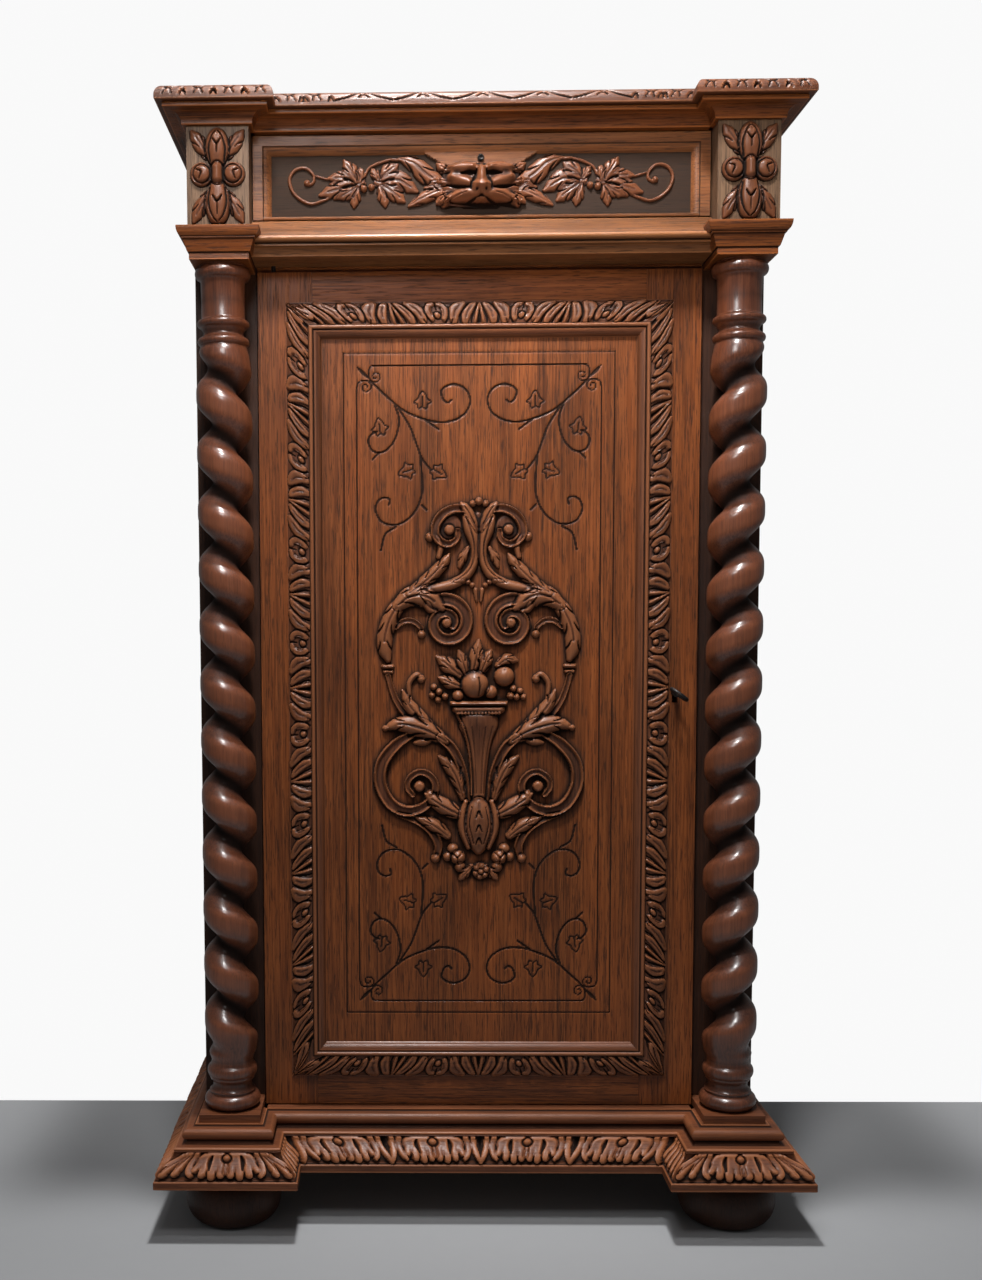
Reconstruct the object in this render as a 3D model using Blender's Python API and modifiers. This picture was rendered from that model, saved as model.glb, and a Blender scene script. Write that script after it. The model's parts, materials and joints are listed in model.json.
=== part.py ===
"""Carved oak side cabinet: a framed carcass on bun feet with a breakfront plinth, barley-twist columns
at the front corners, one panelled door with a key lock, and one drawer in the frieze above it.

Metres, +Z up. The front faces -Y, and the origin is the centre of the footprint on the floor.
"""
import math

import bmesh
import bpy
from mathutils import Matrix, Vector

OBJECT_NAME = "side_cabinet"
MM = 0.001
UP = Vector((0, 0, 1))
LEFT, RIGHT = -1, 1
SIDES = (("left", LEFT), ("right", RIGHT))

# Clearances
GAP = 0.0003            # between two pieces that touch
SWING_GAP = 0.002       # beside the door
PEDESTAL_GAP = 0.0015   # between the door's edge and the pedestal it swings past
DOOR_GAP = 0.0015       # above and below the door
SLIDE_GAP = 0.0015      # round the drawer front
SEAT_GAP = 0.0005       # under the drawer
RUN_GAP = 0.001         # between the drawer's sides and the posts
COLUMN_GAP = 0.0025     # between a column and the post behind it

# Feet
FOOT_HEIGHT = 0.062
FOOT_RADIUS = 0.056
FOOT_NECK = 0.041
REAR_FOOT_RADIUS = 0.042
REAR_FOOT_INSET = 0.060

# Plinth moulding, bottom to top, and how far each member steps in
PLINTH_FILLET = 0.0105
OGEE_HEIGHT = 0.026
BEAD_HEIGHT = 0.005
COVE_HEIGHT = 0.0075
TORUS_HEIGHT = 0.009
PLINTH_CAP = 0.0035
LIP_STEP = 0.003
OGEE_STEP = 0.018
BEAD_STEP = 0.0075
COVE_STEP = 0.006
TORUS_STEP = 0.0075
TORUS_SWELL = 0.0035
PLINTH_BREAK = 0.050     # how far the corners stand in front of the centre
PEDESTAL_HEIGHT = 0.0092
PEDESTAL_STEP = 0.004

# Columns
COLUMN_SPACING = 0.578
COLUMN_HEIGHT = 0.9623
COLUMN_RADIUS = 0.0315
TWIST_PITCH = 0.065
CREST_HEIGHT = 0.821     # above the foot of a column, where the strand meets its outer side
GROOVE_DEPTH = 0.018
TWIST_FADE = 0.030
COLUMN_BASE = 0.062
COLUMN_HEAD = 0.090
BASE_TORUS_RADIUS = 0.0325
RING_RADIUS = 0.029
SCOTIA_RADIUS = 0.0225
DRUM_RADIUS = 0.025
CAP_RING_RADIUS = 0.031
CORNER_HALF = 0.039      # half the side of the plinth top under a column
COLUMN_SIDES = 10
ROWS_PER_TURN = 8

# Column caps and the waist moulding between them
NECK_HALF = 0.033
NECK_HEIGHT = 0.008
FASCIA_HEIGHT = 0.0135
FASCIA_SPLAY = 0.006
CAP_FILLET = 0.002
CAP_FILLET_STEP = 0.0015
OVOLO_HEIGHT = 0.0105
OVOLO_STEP = 0.005
WAIST_PROJECTION = 0.0235
WAIST_SOFFIT = 0.006
WAIST_COVE = 0.009
WAIST_BEAD = 0.0035
WAIST_NOSE = 0.0065

# Frieze, cornice and top
BLOCK_HALF = 0.034
FRIEZE_HEIGHT = 0.108
BED_LIP = 0.0045
BED_LIP_HEIGHT = 0.003
BED_COVE = 0.0135
BED_COVE_HEIGHT = 0.010
BED_FILLET = 0.0045
BED_FILLET_HEIGHT = 0.005
BED_DEPTH = 0.020
CORNICE_BREAK = 0.025
TOP_OVERHANG = 0.030
TOP_THICKNESS = 0.017
TOP_ROUND = 0.006

# Carcass
CARCASS_DEPTH = 0.318
SIDE_REVEAL = 0.003      # the side's set-back from the plinth top
POST_DEPTH = 0.050
REAR_POST = 0.045
SIDE_INSET = 0.006
SIDE_THICKNESS = 0.016
BACK_INSET = 0.004
BACK_THICKNESS = 0.014
BOARD_THICKNESS = 0.018
RAIL_THICKNESS = 0.022
HOUSING = 0.005          # how deep a shelf enters the side
LOWER_SHELF = 0.325      # shelf tops above the cupboard floor
UPPER_SHELF = 0.655

# Door
DOOR_THICKNESS = 0.024
DOOR_PROUD = 0.010
STILE_WIDTH = 0.062
PANEL_THICKNESS = 0.012
MOULDING_SIDE = 0.0320    # moulding's outer edge in from the door's sides
MOULDING_END = 0.0345     # and from its top and foot
CARVED_BAND = 0.026
CARVED_RISE = 0.0075
DOOR_BEAD = 0.005
DOOR_BEAD_RISE = 0.009
DOOR_OVOLO = 0.010
DOOR_OVOLO_RISE = 0.006
DOOR_LIP = 0.002
CARTOUCHE_HEIGHT = 0.434
CARTOUCHE_STEPS = 434    # the carver's drawing of the cartouche is this many units high
STROKE_RISE = 0.002      # how far a carved stroke stands off its ground at its centre line
CARTOUCHE_LIFT = 0.0035  # cartouche centre above the centre of the door

# Door pivots and lock
PIVOT_INSET = 0.018
PIVOT_DEPTH = 0.006
PIN_RADIUS = 0.0025
PIN_ENTRY = 0.010
LOCK_SETBACK = 0.0255    # key centre in from the door's edge
LOCK_HEIGHT = 0.488      # key centre above the door's foot
LOCK_MARGIN = 0.004
CASE_LENGTH = 0.062
CASE_HEIGHT = 0.078
CASE_THICKNESS = 0.017
WARD_RADIUS = 0.013
WARD_DEPTH = 0.011
BOLT_LENGTH = 0.050
BOLT_HEIGHT = 0.010
BOLT_THICKNESS = 0.007
BOLT_RISE = 0.024
BOLT_THROW = 0.012
KEY_RADIUS = 0.003
KEY_STEM = 0.016
KEY_BOW = 0.0105
KEY_BOW_WIRE = 0.0022
KEY_BIT = 0.010
KEY_BIT_WIDTH = 0.006
KEY_TILT = math.radians(37)

# Drawer
DRAWER_SETBACK = 0.028
DRAWER_RISE = 0.0155
DRAWER_FRONT = 0.022
DRAWER_LENGTH = 0.290
DRAWER_SIDE = 0.011
DRAWER_SIDE_HEIGHT = 0.076
DRAWER_BOTTOM = 0.008
DRAWER_BOTTOM_RISE = 0.006
SUNK_DEPTH = 0.006
SUNK_SIDE = 0.0188
SUNK_TOP = 0.0185
SUNK_FOOT = 0.004
SUNK_SLOPE = 0.004
VINE_SPAN = 0.434        # from one end of the drawer's carving to the other
VINE_STEPS = 434

# Levels, floor to top
PLINTH_HEIGHT = PLINTH_FILLET + OGEE_HEIGHT + BEAD_HEIGHT + COVE_HEIGHT + TORUS_HEIGHT + PLINTH_CAP
CAP_HEIGHT = NECK_HEIGHT + FASCIA_HEIGHT + CAP_FILLET + OVOLO_HEIGHT
BED_HEIGHT = BED_LIP_HEIGHT + BED_COVE_HEIGHT + BED_FILLET_HEIGHT
Z_BASE = FOOT_HEIGHT + PLINTH_HEIGHT
Z_COLUMN = Z_BASE + PEDESTAL_HEIGHT
Z_CAP = Z_COLUMN + COLUMN_HEIGHT
Z_FRIEZE = Z_CAP + CAP_HEIGHT
Z_BED = Z_FRIEZE + FRIEZE_HEIGHT
Z_TOP = Z_BED + BED_HEIGHT
Z_DOOR = Z_BASE + DOOR_GAP
Z_HEAD = Z_CAP + DOOR_GAP
Z_DRAWER = Z_FRIEZE + DRAWER_RISE
Z_DRAWER_TOP = Z_BED - SLIDE_GAP

# Places across and in depth
PLINTH_PROJECTION = LIP_STEP + OGEE_STEP + BEAD_STEP + COVE_STEP + TORUS_STEP
DEPTH = CARCASS_DEPTH + COLUMN_GAP + COLUMN_RADIUS + CORNER_HALF + PLINTH_PROJECTION
Y_BACK = DEPTH / 2
Y_POST = Y_BACK - CARCASS_DEPTH
Y_AXIS = Y_POST - COLUMN_GAP - COLUMN_RADIUS
X_AXIS = COLUMN_SPACING / 2
X_SIDE = X_AXIS + CORNER_HALF - SIDE_REVEAL
X_PANEL = X_SIDE - SIDE_INSET - SIDE_THICKNESS
X_DOOR = X_AXIS - CORNER_HALF + PEDESTAL_STEP - PEDESTAL_GAP
X_POST = X_DOOR + SWING_GAP
Y_DOOR = Y_POST - DOOR_PROUD
Y_BLOCK = Y_AXIS - BLOCK_HALF
Y_DRAWER = Y_BLOCK + DRAWER_SETBACK
X_DRAWER = X_AXIS - BLOCK_HALF - SLIDE_GAP
X_BOX = X_POST - RUN_GAP
Y_INNER = Y_BACK - BACK_INSET - BACK_THICKNESS
CAP_HALF = NECK_HALF + FASCIA_SPLAY + CAP_FILLET_STEP + OVOLO_STEP
BED_PROJECTION = BED_LIP + BED_COVE + BED_FILLET
CARTOUCHE_UNIT = CARTOUCHE_HEIGHT / CARTOUCHE_STEPS
VINE_UNIT = VINE_SPAN / VINE_STEPS

DOOR_PIVOT = Vector((-X_DOOR + PIVOT_INSET, Y_DOOR + PIVOT_DEPTH, Z_DOOR))
DRAWER_ORIGIN = Vector((0, Y_DRAWER, Z_DRAWER))
KEY_CENTRE = Vector((X_DOOR - LOCK_SETBACK, Y_DOOR, Z_DOOR + LOCK_HEIGHT))
Y_CASE = Y_DOOR + DOOR_THICKNESS + GAP
X_CASE = X_DOOR - LOCK_MARGIN
BOLT_CENTRE = Vector((X_CASE - BOLT_LENGTH / 2, Y_CASE + CASE_THICKNESS / 2, KEY_CENTRE.z + BOLT_RISE))

# Finishes: base colour, roughness, metallic
OAK = ((0.17, 0.075, 0.035), 0.45, 0.0)
DARK_OAK = ((0.085, 0.036, 0.02), 0.38, 0.0)
GREY_OAK = ((0.22, 0.14, 0.085), 0.55, 0.0)
PLAIN_OAK = ((0.28, 0.18, 0.10), 0.65, 0.0)
IRON = ((0.035, 0.03, 0.028), 0.5, 0.9)


def clear_scene():
    """Remove what the file already holds."""
    for obj in list(bpy.data.objects):
        bpy.data.objects.remove(obj, do_unlink=True)
    for collection in list(bpy.data.collections):
        bpy.data.collections.remove(collection)


def new_collection(name):
    """A collection linked to the scene."""
    collection = bpy.data.collections.new(name)
    bpy.context.scene.collection.children.link(collection)
    return collection


def new_material(name, finish):
    """A Principled material from a colour, a roughness and a metallic value."""
    colour, roughness, metallic = finish
    material = bpy.data.materials.new(name)
    material.use_nodes = True
    shader = material.node_tree.nodes["Principled BSDF"]
    shader.inputs["Base Color"].default_value = (*colour, 1.0)
    shader.inputs["Roughness"].default_value = roughness
    shader.inputs["Metallic"].default_value = metallic
    material.diffuse_color = (*colour, 1.0)
    return material


def add_empty(name, location, parent=None):
    """An empty on a joint's axis; its pieces are its children."""
    empty = bpy.data.objects.new(name, None)
    empty.empty_display_size = 0.05
    PARTS.objects.link(empty)
    empty.location = Vector(location) - (parent.location if parent else Vector())
    empty.parent = parent
    return empty


def add_part(name, bm, finish, parent, smooth=False):
    """Store a bmesh, modelled in world places, as a named object under its joint's empty."""
    origin = parent.matrix_world.translation
    bmesh.ops.recalc_face_normals(bm, faces=bm.faces)
    bmesh.ops.translate(bm, verts=bm.verts, vec=-origin)
    mesh = bpy.data.meshes.new(name)
    bm.to_mesh(mesh)
    bm.free()
    if smooth:
        mesh.shade_smooth()
        mesh.set_sharp_from_angle(angle=math.radians(38))
    mesh.materials.append(new_material(name + "_finish", finish))
    obj = bpy.data.objects.new(name, mesh)
    obj.parent = parent
    PARTS.objects.link(obj)
    return obj


def cut(obj, name, bm):
    """Cut a shape, modelled in world places, out of an object."""
    bmesh.ops.recalc_face_normals(bm, faces=bm.faces)
    mesh = bpy.data.meshes.new(name)
    bm.to_mesh(mesh)
    bm.free()
    cutter = bpy.data.objects.new(name, mesh)
    cutter.hide_render = True
    cutter.display_type = "WIRE"
    CUTTERS.objects.link(cutter)
    modifier = obj.modifiers.new(name, "BOOLEAN")
    modifier.operation = "DIFFERENCE"
    modifier.solver = "EXACT"
    modifier.object = cutter


def evaluated_bmesh(obj):
    """The mesh of an object with its modifiers, welded, as a bmesh; the object is removed."""
    bpy.context.view_layer.update()
    graph = bpy.context.evaluated_depsgraph_get()
    mesh = bpy.data.meshes.new_from_object(obj.evaluated_get(graph), depsgraph=graph)
    bm = bmesh.new()
    bm.from_mesh(mesh)
    bmesh.ops.remove_doubles(bm, verts=bm.verts, dist=1e-6)
    bpy.data.objects.remove(obj, do_unlink=True)
    bpy.data.meshes.remove(mesh)
    return bm


def temporary(bm, name="temporary"):
    """A scratch object that holds a bmesh."""
    bmesh.ops.recalc_face_normals(bm, faces=bm.faces)
    mesh = bpy.data.meshes.new(name)
    bm.to_mesh(mesh)
    bm.free()
    obj = bpy.data.objects.new(name, mesh)
    CUTTERS.objects.link(obj)
    return obj


def combine(first, second, operation):
    """Join one shape to another, or cut it away from it."""
    base, tool = temporary(first), temporary(second)
    modifier = base.modifiers.new("combine", "BOOLEAN")
    modifier.operation = operation
    modifier.solver = "EXACT"
    modifier.object = tool
    result = evaluated_bmesh(base)
    bpy.data.objects.remove(tool, do_unlink=True)
    return result


def union(shapes):
    """Join overlapping shapes into one closed body."""
    base = shapes[0]
    for shape in shapes[1:]:
        base = combine(base, shape, "UNION")
    return base


def box(low, high):
    """A rectangular block between two corners."""
    low, high = Vector(low), Vector(high)
    bm = bmesh.new()
    bmesh.ops.create_cube(bm, size=1.0)
    size = high - low
    place = Matrix.Translation((low + high) / 2) @ Matrix.Diagonal((*size, 1.0))
    bmesh.ops.transform(bm, matrix=place, verts=bm.verts)
    return bm


def cylinder(centre, radius, length, axis, sides=16):
    """A round bar along X, Y or Z."""
    turn = {"X": Matrix.Rotation(math.pi / 2, 4, "Y"), "Y": Matrix.Rotation(math.pi / 2, 4, "X")}
    bm = bmesh.new()
    bmesh.ops.create_cone(bm, cap_ends=True, segments=sides, radius1=radius, radius2=radius, depth=length)
    place = Matrix.Translation(centre) @ turn.get(axis, Matrix.Identity(4))
    bmesh.ops.transform(bm, matrix=place, verts=bm.verts)
    return bm


def ellipsoid(centre, radii, columns=8, rows=6):
    """A ball stretched along its three axes, with its poles front and back."""
    bm = bmesh.new()
    bmesh.ops.create_uvsphere(bm, u_segments=columns, v_segments=rows, radius=1.0)
    stretch = Matrix.Diagonal((*radii, 1.0)) @ Matrix.Rotation(math.pi / 2, 4, "X")
    bmesh.ops.transform(bm, matrix=Matrix.Translation(centre) @ stretch, verts=bm.verts)
    return bm


def prism(outline, height):
    """A flat outline of (x, y, z) points drawn out along a vector."""
    bm = bmesh.new()
    face = bm.faces.new([bm.verts.new(point) for point in outline])
    drawn = bmesh.ops.extrude_face_region(bm, geom=[face])["geom"]
    moved = [item for item in drawn if isinstance(item, bmesh.types.BMVert)]
    bmesh.ops.translate(bm, verts=moved, vec=height)
    return bm


def moulding(section, origin, out, along, start, end, mitres=(0, 0)):
    """A straight moulding: a section of (projection, height) points drawn out from start to end.

    A mitre of 1 or -1 slants that end by as much as each point projects.
    """
    bm = bmesh.new()
    ring = [bm.verts.new(origin + out * p + UP * h + along * (start + mitres[0] * p)) for p, h in section]
    face = bm.faces.new(ring)
    drawn = bmesh.ops.extrude_face_region(bm, geom=[face])["geom"]
    for vert in drawn:
        if isinstance(vert, bmesh.types.BMVert):
            projection = (vert.co - origin).dot(out)
            vert.co += along * (end - start + (mitres[1] - mitres[0]) * projection)
    return bm


def coped_length(section, face, back, half, z):
    """A moulding that runs across the front between two corner blocks of the same section.

    Each end is scribed to the block it meets, a gap clear of it; steps are eased by the same gap.
    """
    levels = [(section[0][0], section[0][0], section[0][1])]
    for (p, h), (q, k) in zip(section, section[1:]):
        if k - h > GAP:
            levels.append((q, q, k))
        elif q < p:
            levels += [(q, p, h + GAP / 2), (q, q, h + GAP)]
        elif q > p:
            levels[-1] = (p, p, h - GAP)
            levels += [(p, q, h - GAP / 2), (q, q, h)]
    bm = bmesh.new()
    rings = []
    for p, end, h in levels:
        x = half - end - GAP
        corners = ((x, face - p), (-x, face - p), (-x, back), (x, back))
        rings.append([bm.verts.new((a, b, z + h)) for a, b in corners])
    for low, high in zip(rings, rings[1:]):
        for i in range(4):
            bm.faces.new((low[i - 1], low[i], high[i], high[i - 1]))
    bm.faces.new(rings[0])
    bm.faces.new(rings[-1])
    return bm


def screw_mesh(profile, steps):
    """A profile of (radius, height), top to bottom, turned once round Z in a number of steps."""
    mesh = bpy.data.meshes.new("profile")
    edges = [(i, i + 1) for i in range(len(profile) - 1)]
    mesh.from_pydata([(radius, 0, height) for radius, height in profile], edges, [])
    obj = bpy.data.objects.new("profile", mesh)
    CUTTERS.objects.link(obj)
    modifier = obj.modifiers.new("turn", "SCREW")
    modifier.steps = steps
    modifier.render_steps = steps
    modifier.use_merge_vertices = True
    modifier.merge_threshold = 1e-5
    return evaluated_bmesh(obj)


def turned(profile, centre, steps=20):
    """A solid of revolution on a vertical axis; the profile runs bottom to top."""
    closed = [(0, profile[-1][1])] + list(reversed(profile)) + [(0, profile[0][1])]
    bm = screw_mesh(closed, steps)
    bmesh.ops.translate(bm, verts=bm.verts, vec=centre)
    return bm


def square_block(profile, centre):
    """A square block whose four sides follow a profile of (half width, height), bottom to top."""
    diagonal = [(half * math.sqrt(2), height) for half, height in profile]
    bm = turned(diagonal, Vector(), steps=4)
    place = Matrix.Translation(centre) @ Matrix.Rotation(math.pi / 4, 4, "Z")
    bmesh.ops.transform(bm, matrix=place, verts=bm.verts)
    return bm


def trim(bm, point, normal):
    """Cut away what lies on the normal's side of a plane, and close the cut."""
    everything = bm.verts[:] + bm.edges[:] + bm.faces[:]
    result = bmesh.ops.bisect_plane(bm, geom=everything, plane_co=point, plane_no=normal, clear_outer=True)
    edges = [item for item in result["geom_cut"] if isinstance(item, bmesh.types.BMEdge)]
    bmesh.ops.edgeloop_fill(bm, edges=edges)
    return bm


def flat_back(bm, face):
    """Cut away what lies behind an upright face that the carving is planted on."""
    room = Vector((1, 0, 1))
    return combine(bm, box(face - room, face + room + Vector((0, 0.1, 0))), "DIFFERENCE")


def arc(centre, radius, start, end, count):
    """Points on an arc in a section, from one angle in degrees to another."""
    angles = [math.radians(start + (end - start) * i / count) for i in range(count + 1)]
    return [(centre[0] + radius[0] * math.cos(a), centre[1] + radius[1] * math.sin(a)) for a in angles]


def smooth_path(points, steps=2):
    """Points of any dimension on a smooth curve through the given ones."""
    path = [Vector(p) for p in points]
    path = [path[0] * 2 - path[1]] + path + [path[-1] * 2 - path[-2]]
    result = []
    for before, a, b, after in zip(path, path[1:], path[2:], path[3:]):
        for i in range(steps):
            t = i / steps
            bend = (b - before) * t + (before * 2 - a * 5 + b * 4 - after) * t * t
            bend += (a * 3 - before - b * 3 + after) * t ** 3
            result.append(a + bend / 2)
    return result + [path[-2]]


def spiral(centre, radii, start, sweep, widths, count=12):
    """A scroll of (across, height, half width) points about a centre; angles in degrees."""
    points = []
    for i in range(count + 1):
        t = i / count
        angle = math.radians(start + sweep * t)
        radius = radii[0] + (radii[1] - radii[0]) * t
        across = centre[0] + radius * math.cos(angle)
        height = centre[1] + radius * math.sin(angle)
        points.append((across, height, widths[0] + (widths[1] - widths[0]) * t))
    return points


def tube(points, radii, resolution=1):
    """A round bar along a path, thicker and thinner as its radii say, with closed ends."""
    curve = bpy.data.curves.new("bar", "CURVE")
    curve.dimensions = "3D"
    curve.bevel_depth = 1.0
    curve.bevel_resolution = resolution
    curve.use_fill_caps = True
    spline = curve.splines.new("POLY")
    spline.points.add(len(points) - 1)
    for knot, point, radius in zip(spline.points, points, radii):
        knot.co = (*point, 1.0)
        knot.radius = radius
    obj = bpy.data.objects.new("bar", curve)
    CUTTERS.objects.link(obj)
    return evaluated_bmesh(obj)


def stroke(points, centre, unit, flip=1):
    """A carver's stroke: a bar of (across, height, half width) drawing units on an upright face."""
    places = [centre + Vector((flip * across * unit, -STROKE_RISE, height * unit)) for across, height, _ in points]
    return tube(places, [half * unit for _, _, half in points])


def leaf(centre, length, width, angle, thickness, lobes=3):
    """A lobed leaf that lies on an upright face and points along an angle in degrees."""
    turn = Matrix.Rotation(math.radians(angle), 2)
    count = 6 * lobes
    outline = []
    for i in range(count):
        t = 2 * math.pi * i / count
        scale = 1.0 + 0.16 * math.cos(2 * lobes * t)
        flat = turn @ Vector((length / 2 * scale * math.cos(t), width / 2 * scale * math.sin(t)))
        outline.append(centre + Vector((flat.x, thickness, flat.y)))
    return prism(outline, Vector((0, -2 * thickness, 0)))


def plinth_section():
    """The plinth's outer edge, bottom to top, as (projection past the top edge, height)."""
    out = PLINTH_PROJECTION
    section = [(out, 0), (out, PLINTH_FILLET)]
    low, high = out - LIP_STEP, out - LIP_STEP - OGEE_STEP
    for i in range(5):
        t = i / 4
        wave = t - math.sin(2 * math.pi * t) / (2 * math.pi)
        section.append((low + (high - low) * wave, PLINTH_FILLET + OGEE_HEIGHT * t))
    level = PLINTH_FILLET + OGEE_HEIGHT + BEAD_HEIGHT
    section.append((high, level))
    inner = high - BEAD_STEP - COVE_STEP
    section += arc((high - BEAD_STEP, level + COVE_HEIGHT), (COVE_STEP, COVE_HEIGHT), 270, 180, 3)
    level += COVE_HEIGHT + TORUS_HEIGHT / 2
    section += arc((inner, level), (TORUS_SWELL, TORUS_HEIGHT / 2), -90, 90, 4)
    section += [(0, level + TORUS_HEIGHT / 2), (0, PLINTH_HEIGHT)]
    return section


def cap_section(grow=0.0):
    """Half widths of a column cap, bottom to top."""
    fascia, fillet = NECK_HALF + FASCIA_SPLAY, NECK_HALF + FASCIA_SPLAY + CAP_FILLET_STEP
    level = NECK_HEIGHT + FASCIA_HEIGHT
    section = [(NECK_HALF, 0), (NECK_HALF, NECK_HEIGHT), (NECK_HALF + CAP_FILLET_STEP, NECK_HEIGHT)]
    section += [(fascia, level), (fillet, level), (fillet, level + CAP_FILLET)]
    section += arc((fillet, CAP_HEIGHT), (OVOLO_STEP, OVOLO_HEIGHT), -90, 0, 4)[1:]
    return [(half + grow, h) for half, h in section]


def bed_section():
    """The moulding under the top, bottom to top, as (projection past the frieze block, height)."""
    level = BED_LIP_HEIGHT + BED_COVE_HEIGHT
    section = [(BED_LIP, 0), (BED_LIP, BED_LIP_HEIGHT)]
    section += arc((BED_LIP + BED_COVE, BED_LIP_HEIGHT), (BED_COVE, BED_COVE_HEIGHT), 180, 90, 4)[1:]
    section += [(BED_PROJECTION, level), (BED_PROJECTION, BED_HEIGHT)]
    return section


def waist_section():
    """The moulding under the drawer, bottom to top, as (projection past the drawer front, height)."""
    top = Z_DRAWER - SLIDE_GAP - Z_CAP - NECK_HEIGHT
    cove = (WAIST_PROJECTION - WAIST_SOFFIT) / 2
    nose = WAIST_COVE + WAIST_BEAD + WAIST_NOSE / 2
    section = [(WAIST_SOFFIT, 0)] + arc((WAIST_SOFFIT + cove, 0), (cove, WAIST_COVE), 180, 90, 3)[1:]
    section += [(WAIST_SOFFIT + cove + CAP_FILLET_STEP, WAIST_COVE)]
    section += [(WAIST_SOFFIT + cove + CAP_FILLET_STEP, WAIST_COVE + WAIST_BEAD)]
    section += arc((WAIST_PROJECTION - WAIST_NOSE / 2, nose), (WAIST_NOSE / 2, WAIST_NOSE / 2), -90, 60, 4)
    return section + [(0, top)]


def backed(section, back):
    """Close a section with a flat back at a projection."""
    return section + [(back, section[-1][1]), (back, section[0][1])]


def corner_block(section, half, z, top=()):
    """Half widths of a moulded corner block, bottom to top, from a section and its face's half width."""
    return [(half + p, z + h) for p, h in section] + [(side, z + h) for side, h in top]


def column_centre(side, z=0.0):
    """A point on a column's axis."""
    return Vector((side * X_AXIS, Y_AXIS, z))


def add_feet():
    """Bun feet: the front pair under the columns, a plainer pair under the back."""
    swell = FOOT_HEIGHT * 0.44
    for name, side in SIDES:
        front = [(FOOT_RADIUS * 0.66, 0)]
        front += arc((FOOT_RADIUS * 0.66, swell), (FOOT_RADIUS * 0.34, swell), -60, 75, 5)
        front += [(FOOT_NECK, FOOT_HEIGHT * 0.93), (FOOT_NECK, FOOT_HEIGHT)]
        add_part(f"front_{name}_foot", turned(front, column_centre(side)), DARK_OAK, ROOT, True)
        rear = [(REAR_FOOT_RADIUS * 0.8, 0), (REAR_FOOT_RADIUS, FOOT_HEIGHT * 0.3)]
        rear += [(REAR_FOOT_RADIUS, FOOT_HEIGHT * 0.7), (REAR_FOOT_RADIUS * 0.8, FOOT_HEIGHT)]
        place = Vector((side * X_AXIS, Y_BACK - REAR_FOOT_INSET, 0))
        add_part(f"rear_{name}_foot", turned(rear, place, 16), DARK_OAK, ROOT, True)


def add_plinth():
    """Moulded corner blocks under the columns, a set-back centre coped to them, and two sides."""
    z = FOOT_HEIGHT + GAP
    section = [(p, max(0, h - GAP)) for p, h in plinth_section()]
    pedestal = CORNER_HALF - PEDESTAL_STEP
    step = [(pedestal, PLINTH_HEIGHT - GAP), (pedestal, PLINTH_HEIGHT + PEDESTAL_HEIGHT - GAP)]
    centre_top = Y_AXIS - CORNER_HALF + PLINTH_BREAK
    centre = coped_length(section, centre_top, Y_POST - GAP, X_AXIS - CORNER_HALF, z)
    centre = add_part("plinth_centre", centre, OAK, ROOT, True)
    for name, side in SIDES:
        profile = corner_block(section, CORNER_HALF, z, step)
        block = trim(square_block(profile, column_centre(side)), (0, Y_POST - GAP, 0), (0, 1, 0))
        add_part(f"{name}_plinth_corner", block, OAK, ROOT, True)
        edge = Vector((side * (X_AXIS + CORNER_HALF), 0, z))
        flank = backed(section, X_SIDE + GAP - X_AXIS - CORNER_HALF)
        length = moulding(flank, edge, Vector((side, 0, 0)), Vector((0, 1, 0)), Y_POST, Y_BACK)
        add_part(f"{name}_plinth_side", length, OAK, ROOT, True)
    hole = cylinder((DOOR_PIVOT.x, DOOR_PIVOT.y, Z_BASE), PIN_RADIUS + GAP, 2 * (PIN_ENTRY + GAP), "Z", 12)
    cut(centre, "lower_pivot_socket", hole)


def inner_board(low, high, front, half):
    """A level board inside the carcass, notched round the four posts."""
    front_notch = X_POST - GAP
    rear_notch = X_SIDE - REAR_POST - GAP
    y_front = max(front, Y_POST + POST_DEPTH + GAP)
    y_rear = Y_BACK - REAR_POST - GAP
    right = [(half, y_front), (half, y_rear), (rear_notch, y_rear), (rear_notch, Y_INNER - GAP)]
    if front < y_front:
        right = [(front_notch, front), (front_notch, y_front)] + right
    left = [(-x, y) for x, y in reversed(right)]
    return prism([Vector((x, y, low)) for x, y in right + left], Vector((0, 0, high - low)))


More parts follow.
